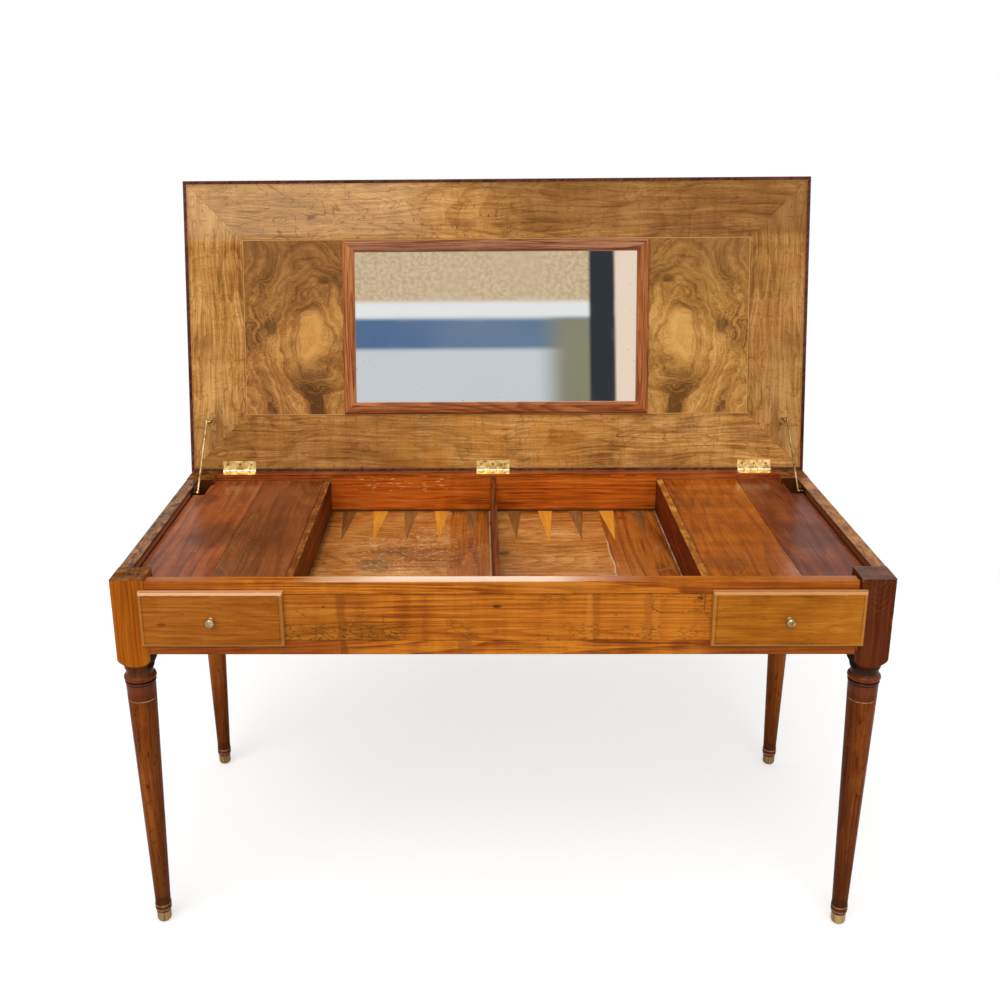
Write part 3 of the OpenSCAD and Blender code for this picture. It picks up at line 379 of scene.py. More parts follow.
def leg_wood(name, node, seed, head, head_dark, head_light, shaft, grey=0.0, arches=False):
    """A leg: its head, its turned part, its rings, and the worn end grain of its top."""
    low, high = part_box(node)
    middle = (low + high) / 2
    outward = math.copysign(1.0, middle.x)
    inward_y = math.copysign(1.0, CASE_Y - middle.y)
    f = Finish(name)
    x, y, z = f.parts()
    at = along(f, "z", seed)
    wood(f, at, head_dark, head, head_light, rings=14, wide=26, long=0.6, ring=0.14, fibre=0.8, streak=0.4,
         cloud=0.7)
    if arches:
        side = f.sub(x, middle.x + 3 * MM)
        bend = f.mul(f.noise(f.here, 16, 2), 0.05)
        nest = f.add(f.sub(z, f.mul(side, side, 60.0)), bend)
        arch = f.fract(nest, 88.0)
        lines = f.mul(f.step(arch, 0.7, 0.95), f.step(arch, 1.0, 0.96))
        lines = f.mul(lines, f.step(z, RIM - 0.11, RIM - 0.05), f.patches(30, 0.4, 0.6))
        f.lay(lines, (146, 84, 46), 0.3)
    head_colour, head_height = f.colour, f.height
    wood(f, at, *shaft, rings=10, wide=24, long=0.8, ring=0.2, fibre=1.0, streak=0.6, cloud=1.3)
    pores(f, at, (52, 24, 8), 0.6)
    flecks = f.patches(130, 0.57, 0.66, 4, 0.72, at=f.scaled(f.here, 1, 1, 0.4))
    f.lay(flecks, (54, 24, 8), 0.75)
    mottle = f.patches(34, 0.5, 0.7, 4, 0.6, at=f.scaled(f.here, 1, 1, 0.5))
    f.lay(mottle, (164, 92, 34), 0.35)
    # Painted shade: the side of the leg towards the middle of the table is darker.
    inner = f.step(f.mul(f.sub(x, middle.x), outward), 0.002, -0.022)
    f.lay(inner, (72, 30, 12), 0.45)
    f.lay(f.step(z, 0.30, 0.06, 0.0, 0.6), (76, 34, 12))
    red = f.band(z, NECK - 0.032, 0.022, 0.004)
    f.lay(red, (96, 38, 16), 0.55)
    f.lay(f.step(z, NECK + 0.012, NECK + 0.017), head_colour)
    f.height = head_height
    # Painted shade: a dark band in the hollow under the head, strongest on the front right leg.
    darkening = f.band(z, NECK + 0.004, 0.006, 0.008)
    f.lay(darkening, (44, 20, 10), 0.95 if arches else 0.6)
    groove = f.most(*(f.band(z, place, 0.0006, 0.0016) for place in GROOVES))
    f.lay(groove, (30, 12, 6), 0.8)
    for ring, half in ((RING, 0.0007), *((place, 0.0011) for place in FOOT_RINGS)):
        mark = f.band(z, ring, half, 0.0006)
        f.lay(f.mul(mark, f.patches(120, 0.35, 0.6, low=0.25, high=0.75)), (196, 166, 132))
    worn = f.mul(f.step(z, FOOT_CAP, FOOT_CAP - 10 * MM), f.patches(150, 0.4, 0.6, 3))
    f.lay(worn, (120, 92, 60), 0.6)
    f.lay(f.band(z, 0.048, 0.006, 0.008), (44, 24, 12), 0.5)
    square = (Vector((low.x, low.y, NECK - 0.1)), high)
    rub = f.mul(f.edge(square, 2.2 * MM), f.step(z, NECK + 0.02, NECK + 0.03))
    chips = f.mul(rub, f.patches(60, 0.54, 0.62, 3))
    f.lay(rub, (74, 38, 18), 0.35)
    f.lay(chips, (190, 140, 88), 0.5)
    # Painted shade: the wall of the stay's notch is darkened as a recess, and the face of the shoulder
    # towards the middle is painted dark as in shadow
    notch = f.mul(f.step(f.abs(x), STAY_SIDE + 1 * MM, STAY_SIDE - 1 * MM),
                  f.step(f.abs(y), HINGE.y, HINGE.y - 0.02))
    depth = f.mul(f.sub(y, middle.y), inward_y)
    back = high.y - middle.y
    inside = f.mul(f.step(depth, back - 1.5 * MM, back - 0.5 * MM), f.step(z, APRON, APRON + 2 * MM))
    f.lay(f.mul(inside, notch), (58, 28, 14), 0.9)
    half = (high.x - low.x) / 2
    flank = f.mul(f.step(f.mul(f.sub(middle.x, x), outward), half - 12 * MM, half - 6 * MM),
                  f.step(z, APRON + 1 * MM, APRON - 1 * MM), f.step(z, NECK + 2 * MM, NECK + 6 * MM),
                  f.step(depth, 1 * MM - half, 3 * MM - half))
    f.lay(flank, (34, 14, 6), 0.95)
    end = f.step(z, RIM - 1.6 * MM, RIM - 0.6 * MM)
    patch = f.noise(f.scaled(f.here, 1, 1.6, 1), 34, 5, 0.65)
    grain = f.noise(f.here, (260, 70, 1), 3)
    ends = f.ramp(f.add(patch, f.swing(grain, 0.5)), (0.3, (50, 28, 10)), (0.5, (118, 68, 28)),
                  (0.7, (152, 100, 52)))
    ends = f.mix(grey, ends, (112, 92, 90)) if grey else ends
    f.lay(end, ends)
    rough = f.step(f.most(end, flank), 0.0, 1.0, 0.27, 0.7)
    collar = f.band(z, NECK - 0.018, 0.022, 0.006)
    coat = f.mul(f.sub(1.0, flank), f.add(0.04, f.mul(collar, 0.16)))
    f.relief(f.mul(end, patch, 2.0))
    return f.finish(rough, lift=0.15, level=0.02, coat=coat)


def side_rail_wood(name, node, seed, top_dark, top_mid, top_light, spots=0.0, lit=0.3, rim=0.6):
    """Side rails: plain outside, with painted shade and painted light on the inner face, worn and stained
    along the top.
    """
    f = Finish(name)
    low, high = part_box(node)
    at = along(f, "y", seed)
    wood(f, at, (96, 44, 14), (146, 74, 24), (176, 104, 40), rings=18, wide=9, cloud=1.0)
    x, _, z = f.parts()
    # Painted shade darkens the inner face; rim lays a redder colour back on its upper part, and lit lays
    # painted light on the strip just above the covers.
    inner = f.step(f.abs(x), STAY_SIDE + 2 * MM, STAY_SIDE + 0.5 * MM)
    f.lay(inner, (88, 42, 20), 0.7)
    f.lay(f.mul(inner, f.step(z, COVER + 9 * MM, COVER + 14 * MM)), (150, 82, 34), rim)
    low_part = f.mul(inner, f.step(z, COVER + 9 * MM, COVER + 6 * MM), f.step(z, COVER - 2 * MM, COVER))
    f.lay(low_part, (168, 108, 80), lit)
    top = f.step(z, RIM - 1.2 * MM, RIM - 0.5 * MM)
    patch = f.noise(f.here, (34, 20, 1), 5, 0.7)
    fine = f.noise(f.here, (420, 40, 1), 3)
    worn = f.ramp(f.add(patch, f.swing(fine, 0.5)), (0.36, top_dark), (0.5, top_mid), (0.66, top_light))
    black = f.patches((60, 34, 1), 0.54, 0.62, 4, 0.7)
    worn = f.mix(f.mul(black, spots), worn, (44, 32, 22))
    f.lay(top, worn)
    f.lay(f.edge((low, high), 2.4 * MM), (48, 28, 14), 0.5)
    f.relief(f.mul(patch, top))
    return f.finish(f.step(top, 0.0, 1.0, 0.3, 0.46), lift=0.2)


def cover_wood(name, node, seed, dark, mid, light, flame=0.3, blots=(), flecks=0.0, coat=0.22):
    """A cover board: varnished, with stains and slanting flecks."""
    f = Finish(name)
    at = along(f, "y", seed)
    wood(f, at, dark, mid, light, rings=14, wide=9, long=1.0, ring=0.2, fibre=1.1, streak=0.7, cloud=1.0,
         flame=flame, flames=24)
    pores(f, at, (62, 28, 16), 0.45, width=600, length=30)
    if flecks:
        slant = f.patches((190, 22, 1), 0.56, 0.70, at=f.turned(f.here, 24))
        slant = f.mul(slant, f.patches(9, 0.42, 0.6))
        f.lay(slant, dark, flecks)
    for centre, size, strength in blots:
        f.lay(f.spot(f.here, centre, size, scale=22), (66, 32, 22), strength)
    f.lay(f.edge(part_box(node), 2.0 * MM), (56, 24, 12), 0.5)
    marks = f.add(scratches(f, f.here, 62), scratches(f, f.moved(f.here, 3), 15))
    f.lay(marks, (190, 136, 100), 0.25)
    rough = f.patches(14, 0.3, 0.7, 4, low=0.22, high=0.36)
    return f.finish(rough, lift=0.06, coat=coat, coat_rough=0.16, level=coat)


def wall_wood(name, node, seed, face, face_dark, tops, line=0.0):
    """A well wall or the divider: dark faces, and a rubbed top."""
    low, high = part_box(node)
    f = Finish(name)
    at = along(f, "y", seed)
    wood(f, at, face_dark, face, (150, 78, 28), rings=16, wide=10)
    x, _, z = f.parts()
    top = f.step(z, high.z - 1.2 * MM, high.z - 0.4 * MM)
    patch = f.noise(f.here, (60, 26, 1), 5, 0.6)
    f.lay(top, f.ramp(patch, *zip((0.22, 0.5, 0.64), tops)))
    ragged = f.ragged(x, 0.003, 70, 3)
    pale = f.mul(f.band(ragged, high.x - 3 * MM, 0.7 * MM, 0.7 * MM), top,
                 f.patches(42, 0.50, 0.60, 4))
    f.lay(pale, (196, 156, 112), line)
    f.lay(f.edge((low, high), 1.6 * MM), (78, 38, 16), 0.45)
    # Painted shade along the foot of the wall, where it meets the floor
    f.lay(f.step(z, FLOOR + 6 * MM, FLOOR), CORNER_SHADE, 0.75)
    return f.finish(0.6, lift=0.1, level=0.05, coat=0.0)


def floor_wood():
    """The well's floor: ochre boards, a redder one at the right of each half, knots and scratches."""
    div_low, div_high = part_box("centre_divider")
    wall_low, wall_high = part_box("well_lining")
    f = Finish("floor_wood")
    x, y, _ = f.parts()
    at = along(f, "x", 2.0)
    wood(f, at, (136, 76, 26), (200, 130, 58), (226, 166, 98), rings=20, wide=6, long=2.2, ring=0.22,
         fibre=1.3, streak=0.8, cloud=1.9, waver=0.05)
    warm = f.patches(13, 0.42, 0.62, 5, 0.68)
    f.lay(warm, (176, 92, 28), 0.5)
    pores(f, at, (92, 50, 20), 0.6, width=240, length=70)
    ochre, height = f.colour, f.height
    wood(f, along(f, "y", 5.0), (122, 56, 14), (172, 92, 26), (196, 120, 48), rings=12, wide=8)
    red, f.colour, f.height = f.colour, ochre, height
    edge_x = f.ragged(x, 0.012, 9)
    left_red = f.mul(f.step(edge_x, -0.100, -0.092), f.step(x, 0.001, -0.001))
    right_red = f.step(edge_x, 0.2195, 0.2215)
    f.lay(f.most(left_red, right_red), red)
    seam = f.mul(f.band(edge_x, 0.2205, 0.0007, 0.0012), f.step(y, 0.06, 0.02))
    f.lay(seam, (224, 188, 146), 0.7)
    mottle = f.patches((24, 60, 1), 0.50, 0.64, 5, 0.7)
    f.lay(mottle, (122, 72, 24), 0.35)
    flecks = f.patches(120, 0.60, 0.68, 4, 0.75)
    f.lay(flecks, (84, 48, 24), 0.55)
    for centre, size, deep, strength in (
            ((0.012, -0.034, FLOOR), (0.013, 0.015, 0.02), (62, 42, 22), 0.8),
            ((0.2667, 0.170, FLOOR), (0.014, 0.010, 0.02), (150, 44, 22), 0.75),
            ((-0.235, -0.095, FLOOR), (0.04, 0.05, 0.02), (112, 80, 42), 0.6),
            ((-0.205, -0.02, FLOOR), (0.05, 0.03, 0.02), (104, 74, 36), 0.5),
            ((0.04, 0.19, FLOOR), (0.006, 0.006, 0.02), (60, 36, 20), 0.8)):
        f.lay(f.spot(f.here, centre, size, scale=60), deep, strength)
    dust = f.mul(f.spot(f.here, (-0.17, -0.03, FLOOR), (0.17, 0.15, 0.05), scale=12),
                 f.patches(95, 0.54, 0.62, 5, 0.8, 1.0))
    f.lay(dust, (226, 196, 160), 0.6)
    marks = f.add(scratches(f, f.here, 40, 0.62), scratches(f, f.moved(f.here, 2), -30, 0.62))
    marks = f.mul(marks, f.patches(24, 0.45, 0.6, 3))
    f.lay(marks, (228, 190, 146), 0.35)
    # Painted shade on the floor along the walls and both sides of the divider
    near = f.least(f.sub(x, wall_low.x), f.sub(wall_high.x, x), f.sub(wall_low.y, y),
                   f.abs(f.sub(x, (div_low.x + div_high.x) / 2)))
    near = f.ragged(near, 0.006, 60, 3)
    f.lay(f.step(near, 0.013, 0.003, 0.0, 0.6), CORNER_SHADE)
    loose = f.ragged(x, 0.003, 50, 3)
    white = f.most(f.band(loose, div_low.x - 2.5 * MM, 0.7 * MM, 1.0 * MM),
                   f.band(loose, wall_high.x - 2.5 * MM, 0.7 * MM, 1.0 * MM))
    white = f.mul(white, f.patches(30, 0.30, 0.56, 4, low=0.2, high=0.8))
    f.lay(white, (208, 176, 150))
    rough = f.patches(30, 0.3, 0.7, 4, low=0.3, high=0.5)
    f.relief(f.mul(dust, 0.5))
    return f.finish(rough, lift=0.12, level=0.18)


def lining_wood():
    """The board along the back of the well: orange brown, redder on the left, pale marks at its top left."""
    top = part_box("well_lining")[1].z
    f = Finish("lining_wood")
    x, _, z = f.parts()
    at = along(f, "x", 7.0)
    wood(f, at, (128, 52, 12), (192, 94, 24), (216, 122, 44), rings=26, wide=20, ring=0.15, fibre=1.5,
         streak=0.9, flame=0.4, flames=20)
    marks = f.patches((55, 1, 400), 0.60, 0.66, 3, 0.6)
    f.lay(f.step(x, -0.06, -0.34, 0.0, 0.35), (150, 58, 18))
    where = f.mul(f.step(x, -0.05, -0.14), f.step(z, top - 0.045, top - 0.02), f.step(x, -0.33, -0.28))
    f.lay(f.mul(marks, where), (240, 186, 116), 0.9)
    rub = f.mul(f.step(z, top - 3 * MM, top - 1 * MM), f.patches(30, 0.4, 0.6, 4))
    f.lay(rub, (64, 30, 16), 0.6)
    # Painted shade along the foot of the board, where it meets the floor
    foot = f.step(f.add(z, f.mul(f.noise(f.here, 40, 3), -0.004)), FLOOR + 6 * MM, FLOOR)
    f.lay(foot, CORNER_SHADE, 0.85)
    return f.finish(0.3, lift=0.1)


def inlay_wood(name, dark, mid, light):
    """The points of the backgammon board, lightly scratched."""
    f = Finish(name)
    at = along(f, "y", 4.0)
    wood(f, at, dark, mid, light, rings=30, wide=20, ring=0.18, fibre=0.8, cloud=1.2)
    f.lay(scratches(f, f.here, 40, 0.64), (214, 180, 134), 0.3)
    return f.finish(0.36, lift=0.08)


def drawer_wood(name, node, seed, dark, mid, light, marks, pale):
    """A drawer front: paler wood, a rubbed lip with a painted highlight along its top, and a dark line round
    the field inside the moulding.
    """
    low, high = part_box(node)
    f = Finish(name)
    x, y, z = f.parts()
    at = along(f, "x", seed)
    wood(f, at, dark, mid, light, rings=15, wide=12, long=1.6, ring=0.1, fibre=0.9, streak=0.6, cloud=0.9,
         waver=0.05, flame=0.4)
    pores(f, at, (110, 56, 12), 0.5, width=500, length=60)
    for across, up, wide, tall in marks:
        centre = (low.x + across, low.y, low.z + up)
        f.lay(f.spot(f.here, centre, (wide, 0.02, tall), scale=90), (92, 44, 12), 0.6)
    inset = f.inset((x, low.x, high.x), (z, low.z, high.z))
    ragged = f.ragged(inset, 0.002, 80, 3)
    f.lay(f.step(ragged, 7.5 * MM, 1.0 * MM), (198, 134, 70), 0.6)
    # Painted highlight along the top of the lip
    top_lip_highlight = f.mul(f.step(ragged, 6.6 * MM, 4.2 * MM), f.step(z, high.z - 7 * MM, high.z - 5 * MM))
    f.lay(top_lip_highlight, pale, 0.8)
    line = f.band(ragged, 7.2 * MM, 0.4 * MM, 0.6 * MM)
    f.lay(f.mul(line, f.patches(24, 0.36, 0.6, 3, low=0.1, high=0.7)), (96, 52, 16))
    edge = f.mul(f.step(ragged, 1.6 * MM, 0.4 * MM), f.step(y, low.y + 7 * MM, low.y + 5 * MM))
    f.lay(edge, (110, 68, 30), 0.5)
    back = f.step(y, high.y - 12 * MM, high.y - 10 * MM)
    f.lay(back, (150, 104, 60))
    f.relief(f.mul(line, -1.5))
    return f.finish(0.36, lift=0.15)


def plain_wood(name, axis="x", seed=0.0, dark=(128, 88, 48), mid=(168, 122, 74), light=(192, 150, 100)):
    """Unvarnished wood of the inner parts."""
    f = Finish(name)
    at = along(f, axis, seed)
    wood(f, at, dark, mid, light, rings=20, wide=8, ring=0.25)
    pores(f, at, (96, 64, 36), 0.5)
    return f.finish(0.6, lift=0.12)


def tip_wood():
    """The pale foot caps, darker towards the floor."""
    f = Finish("tip_wood")
    z = f.parts()[2]
    at = along(f, "z", 1.0)
    wood(f, at, (112, 84, 46), (158, 126, 78), (190, 160, 112), rings=12, wide=30)
    darkening = f.step(f.add(z, f.mul(f.noise(f.here, 120, 3), 0.006)), 0.008, 0.001)
    f.lay(darkening, (84, 66, 44), 0.5)
    return f.finish(0.4, lift=0.1)


# The lid, in its own directions
def lid_place(f):
    """Coordinates in the lid's own directions, as lid_box gives them."""
    turn = Matrix.Rotation(LID_TURN, 3, "X")
    return f.node("ShaderNodeMapping", {"Vector": f.here, "Rotation": (LID_TURN, 0, 0),
                                        "Location": -(turn @ HINGE)}).outputs[0]


def squiggles(f, at, scale, count, width, warp):
    """Thin dark lines that follow the level lines of a noise."""
    turn = f.fract(f.noise(at, scale, warp=warp), count)
    return f.step(f.abs(f.sub(turn, 0.5)), width, width * 0.3)


def veneer_wood():
    """Border veneer: golden walnut with smoky patches and thin wandering lines, mitred at the corners."""
    low, high = lid_box("lid_border")
    inner_low, inner_high = lid_box("lid_burr_left")[0], lid_box("lid_burr_right")[1]
    f = Finish("lid_veneer")
    here = lid_place(f)
    x, y, z = f.parts(here)
    mid_y = (inner_low.y + inner_high.y) / 2
    side = f.sub(f.abs(x), inner_high.x)
    end = f.sub(f.abs(f.sub(y, mid_y)), (inner_high.y - inner_low.y) / 2)
    upright = f.step(f.sub(side, end), -0.0004, 0.0004)
    flat_at = f.moved(here, 1.3)
    up_at = f.moved(f.join(y, f.abs(x), z), 5.0)
    at = f.node("ShaderNodeMix", {0: upright, 4: flat_at, 5: up_at}, data_type="VECTOR").outputs[1]
    wood(f, at, (122, 74, 28), (188, 130, 62), (222, 170, 102), rings=16, wide=6, long=1.6, ring=0.16,
         fibre=1.4, streak=1.0, cloud=1.2, waver=0.08, flame=0.5, flames=30)
    short = f.noise(at, (150, 40, 40), 3, 0.7, 0.8)
    f.lay(f.step(short, 0.5, 0.72, 0.0, 0.45), (128, 80, 34))
    smoke = f.patches((5, 16, 16), 0.52, 0.68, 4, 0.62, 0.6, at=at)
    f.lay(smoke, (98, 62, 28), 0.42)
    upper = f.step(y, inner_high.y - 0.01, inner_high.y + 0.02)
    lower = f.step(y, inner_low.y + 0.01, inner_low.y - 0.02)
    f.lay(f.mul(upper, f.step(x, -0.12, 0.12)), (112, 70, 34), 0.5)
    f.lay(f.mul(upper, f.step(x, -0.05, -0.25)), (222, 184, 138), 0.38)
    f.lay(f.mul(upright, f.step(x, 0.0, 0.3, 0.0, 0.3)), (128, 82, 40))
    f.lay(f.mul(lower, f.step(x, 0.0, -0.2)), (124, 74, 28), 0.3)
    vein = f.scaled(at, 1, 3.4, 3.4)
    lines = f.most(squiggles(f, vein, 6, 14, 0.075, 0.5), f.mul(squiggles(f, vein, 13, 9, 0.07, 0.4), 0.7))
    lines = f.mul(lines, f.patches(12, 0.30, 0.46, 3, at=at))
    f.lay(lines, (92, 56, 22), 0.5)
    ticks = f.mul(f.patches((150, 45, 1), 0.60, 0.70, at=here),
                  f.band(f.fract(f.add(y, f.mul(x, 0.12)), 62.0), 0.5, 0.12, 0.16),
                  f.band(x, -0.05, 0.09, 0.05), f.band(y, 0.535, 0.03, 0.015))
    f.lay(ticks, (84, 48, 24), 0.85)
    gold = f.mul(f.band(x, -0.02, 0.14, 0.14), lower, f.patches(16, 0.36, 0.6, 3, at=at))
    f.lay(gold, (202, 130, 36), 0.34)
    f.lay(f.band(f.sub(side, end), 0.0, 0.0002, 0.0008), (92, 58, 30), 0.4)
    inset = f.most(side, end)
    f.lay(f.band(inset, 0.0009, 0.0005, 0.0006), (206, 160, 92), 0.75)
    f.lay(f.band(inset, 0.0024, 0.0002, 0.0006), (88, 54, 28), 0.6)
    outer = f.least(f.sub(high.x, f.abs(x)), f.sub(y, low.y), f.sub(high.y, y))
    f.lay(f.step(outer, 0.006, 0.0, 0.0, 0.35), (92, 54, 30))
    rough = f.step(f.tone, 0.2, 0.9, 0.5, 0.38)
    f.relief(f.mul(lines, -0.6))
    return f.finish(rough, lift=0.08, level=0.15)


def burr_wood(name, deep, mid, light, pale, shade):
    """Burr panel: swirls about a pale eye, the left and right ones mirror images."""
    f = Finish(name)
    x, y, _ = f.parts(lid_place(f))
    away = f.abs(x)
    here = f.join(away, y, 0.0)
    bent = f.bend(here, here, 7, (0.11, 0.18, 0.0), 3)
    bent = f.bend(bent, here, 30, (0.03, 0.03, 0.0))
    far = f.length(f.vec("DIVIDE", f.vec("SUBTRACT", bent, (0.386, 0.266, 0.0)), (0.26, 0.50, 1.0)))
    field = f.add(f.mul(far, 1.7), f.mul(f.noise(bent, 6, 2), 0.55))
    fine = f.noise(bent, (90, 130, 1), 4, 0.7, 1.5)
    smoke = f.noise(here, 8, 4, 0.6, 1.0)
    streak = f.noise(f.join(f.mul(field, 90.0), f.mul(y, 5.0), 0.0), 1.0, 3, 0.65)
    broad = f.noise(f.join(f.mul(field, 14.0), f.mul(y, 4.0), 2.0), 1.0, 2)
    tone = f.add(0.53, f.swing(fine, 0.8), f.swing(smoke, 1.4), f.swing(streak, 1.0),
                 f.swing(broad, 0.9))
    f.colour = f.ramp(tone, (0.12, deep), (0.5, mid), (0.86, light))
    f.lay(f.step(far, 0.14, 0.03), pale, 0.6)
    lines = f.step(f.abs(f.sub(f.fract(field, 17.0), 0.5)), 0.07, 0.015)
    lines = f.mul(lines, f.patches(16, 0.40, 0.58, at=here))
    rim = f.mul(f.band(far, 0.15, 0.004, 0.012), f.patches(22, 0.40, 0.5, at=here))
    f.lay(f.most(f.mul(lines, 0.25), f.mul(rim, 0.3)), (70, 44, 16))
    # Painted shade: darker towards the top and the outer side of each panel
    top_shade = f.mul(f.step(f.add(y, f.swing(smoke, 0.16)), 0.36, 0.46), f.step(away, 0.36, 0.46, 0.6, 1.0))
    f.lay(top_shade, (108, 70, 36), shade)
    knot = f.add(f.spot(here, (0.482, 0.31, 0.0), (0.018, 0.022, 1.0), scale=60),
                 f.spot(here, (0.365, 0.41, 0.0), (0.02, 0.012, 1.0), scale=60))
    f.lay(knot, (66, 44, 18), 0.55)
    rough = f.step(tone, 0.2, 0.9, 0.46, 0.34)
    f.relief(f.add(fine, f.mul(lines, -0.5)))
    return f.finish(rough, lift=0.06, level=0.15)


def frame_wood(name, upright, seed, mid):
    """Mirror frame: reddish brown moulding, grain along each side."""
    f = Finish(name)
    x, y, z = f.parts(lid_place(f))
    at = f.moved(f.join(y, x, z) if upright else f.join(x, y, z), seed * 3.0, seed)
    wood(f, at, (108, 50, 24), mid, (200, 132, 84), rings=24, wide=22, long=1.2, ring=0.3, fibre=1.3,
         cloud=0.9)
    pores(f, at, (88, 38, 14), 0.6)
    low, high = lid_box("mirror_glass")
    inset = f.inset((x, low.x, high.x), (y, low.y, high.y))
    f.lay(f.band(inset, -17 * MM, 0.4 * MM, 0.8 * MM), (58, 24, 12), 0.6)
    return f.finish(0.34, lift=0.1, level=0.2)


def edging_wood():
    """Dark edging round the lid, paler along its rubbed edges."""
    low, high = lid_box("lid_edging")
    f = Finish("edging_wood")
    here = lid_place(f)
    x, y, z = f.parts(here)
    at = f.join(f.add(x, y), f.sub(x, y), z)
    wood(f, at, (52, 26, 20), (88, 48, 36), (120, 72, 52), rings=10, wide=12, fibre=1.0, cloud=1.0)
    f.lay(f.edge((low, high), 1.5 * MM, at=here), (140, 92, 64), 0.4)
    return f.finish(0.36, lift=0.15)


# Metal and glass
def brass(name, bright, dull, tarnish, rough=0.26, knuckles=()):
    """Worn brass, brighter where it is rubbed. Its knuckles are paler, with dark joints."""
    f = Finish(name)
    cloud = f.noise(f.here, 70, 4, 0.6, 0.4)
    grit = f.noise(f.here, 420, 3, 0.6)
    f.colour = f.ramp(f.add(cloud, f.swing(grit, 0.3)), (0.32, tarnish), (0.48, dull), (0.62, bright))
    if knuckles:
        x, y, z = f.parts()
        near = f.mul(f.step(f.abs(f.sub(y, HINGE.y)), 4.4 * MM, 3.8 * MM),
                     f.step(f.abs(f.sub(z, HINGE.z)), 4.4 * MM, 3.8 * MM))
        f.lay(near, (238, 228, 200), 0.6)
        off = f.least(*(f.abs(f.sub(x, place)) for place in knuckles))
        gaps = f.most(f.band(off, 7.1 * MM, 0.4 * MM, 0.6 * MM), f.band(off, 21.4 * MM, 0.4 * MM, 0.6 * MM))
        f.lay(f.mul(near, gaps), (92, 66, 30), 0.85)
    smooth = f.step(cloud, 0.3, 0.7, rough + 0.16, rough - 0.04)
    f.relief(grit)
    return f.finish(smooth, lift=0.05, **METAL)


def mirror_glass():
    """Old silvering, with dark specks near the rim."""
    low, high = lid_box("mirror_glass")
    f = Finish("silvered_glass")
    x, y, _ = f.parts(lid_place(f))
    rim = f.inset((x, low.x, high.x), (y, low.y, high.y))
    specks = f.patches(130, 0.64, 0.72, 4, 0.7)
    specks = f.mul(specks, f.step(rim, 0.07, 0.02, 0.05, 0.55))
    f.colour = f.mix(specks, (240, 243, 242), (96, 92, 84))
    rough = f.patches(8, 0.4, 0.7, 3, low=0.012, high=0.03)
    return f.finish(rough, **METAL)


# Softened edges
def soften(names, width):
    """Rounds the hard edges of CAD nodes with modifiers, without touching their meshes."""
    for name in names:
        modifiers = nodes[name].modifiers
        modifiers.new("weld", "WELD").merge_threshold = 1e-5
        bevel = modifiers.new("round", "BEVEL")
        bevel.width = width
        bevel.segments = 2
        bevel.limit_method = "ANGLE"
        bevel.angle_limit = math.radians(40)


def paint(material, *names):
    """Gives every slot of some nodes one material."""
    for name in names:
        slots = nodes[name].data.materials
        for i in range(len(slots)):
            slots[i] = material


def dress(kind, name, node, *args, **how):
    """Paints one node with a finish that is made for it."""
    paint(kind(name, node, *args, **how), node)


def paint_case():
    """Legs and rails."""
    orange = ((170, 90, 16), (122, 56, 8), (196, 118, 36))
    front = ((74, 30, 8), (124, 60, 18), (154, 88, 32))
    front_right = ((66, 26, 8), (114, 54, 18), (144, 82, 34))
    back = ((98, 43, 12), (150, 77, 24), (176, 103, 40))
    dress(leg_wood, "leg_wood_fl", "leg_front_left", 1.0, *orange, front)
    dress(leg_wood, "leg_wood_fr", "leg_front_right", 2.0, (88, 38, 16), (54, 20, 8), (118, 60, 30),
          front_right, grey=0.55, arches=True)
    dress(leg_wood, "leg_wood_bl", "leg_back_left", 3.0, *orange, back)
    dress(leg_wood, "leg_wood_br", "leg_back_right", 4.0, *orange, back)
    paint(tip_wood(), "foot_caps")

    # Each band: its middle and half width, its colour and its strength
    dark, pale, brown = (122, 56, 12), (214, 134, 50), (150, 72, 18)
    dress(rail_wood, "top_rail_wood", "front_top_rail", 1.0, flame=0.5, gleam=0.75,
          bands=((-0.62, 0.10, brown, 0.5), (0.10, 0.05, pale, 0.35), (0.50, 0.10, brown, 0.4)))
    dress(rail_wood, "panel_wood", "front_panel", 6.0, flame=0.8, old=0.95,
          bands=((-0.27, 0.005, dark, 0.6), (-0.30, 0.06, (146, 78, 24), 0.4), (0.150, 0.004, pale, 0.45),
                 (0.162, 0.004, dark, 0.4), (0.250, 0.005, dark, 0.6), (0.262, 0.004, pale, 0.3),
                 (0.31, 0.07, (212, 128, 36), 0.4), (0.05, 0.12, (204, 120, 32), 0.25),
                 (-0.13, 0.004, dark, 0.2)))
    dress(rail_wood, "bottom_rail_wood", "front_bottom_rail", 3.0,
          tones=((126, 56, 14), (198, 112, 26), (222, 144, 46)),
          bands=((-0.45, 0.14, (140, 62, 22), 0.7), (-0.268, 0.004, (96, 44, 14), 0.5),
                 (-0.06, 0.008, (150, 78, 30), 0.6), (0.48, 0.10, (130, 56, 20), 0.65)))
    dress(rail_wood, "back_rail_wood", "back_rail", 9.0, tones=((96, 40, 16), (158, 76, 30),
                                                                (188, 108, 52)))
    dress(side_rail_wood, "side_rail_left_wood", "side_rail_left", 1.0, (60, 38, 22), (132, 84, 44),
          (180, 128, 76), spots=0.85, lit=0.9, rim=0.0)
    dress(side_rail_wood, "side_rail_right_wood", "side_rail_right", 2.0, (100, 58, 24), (160, 100, 48),
          (188, 132, 74))


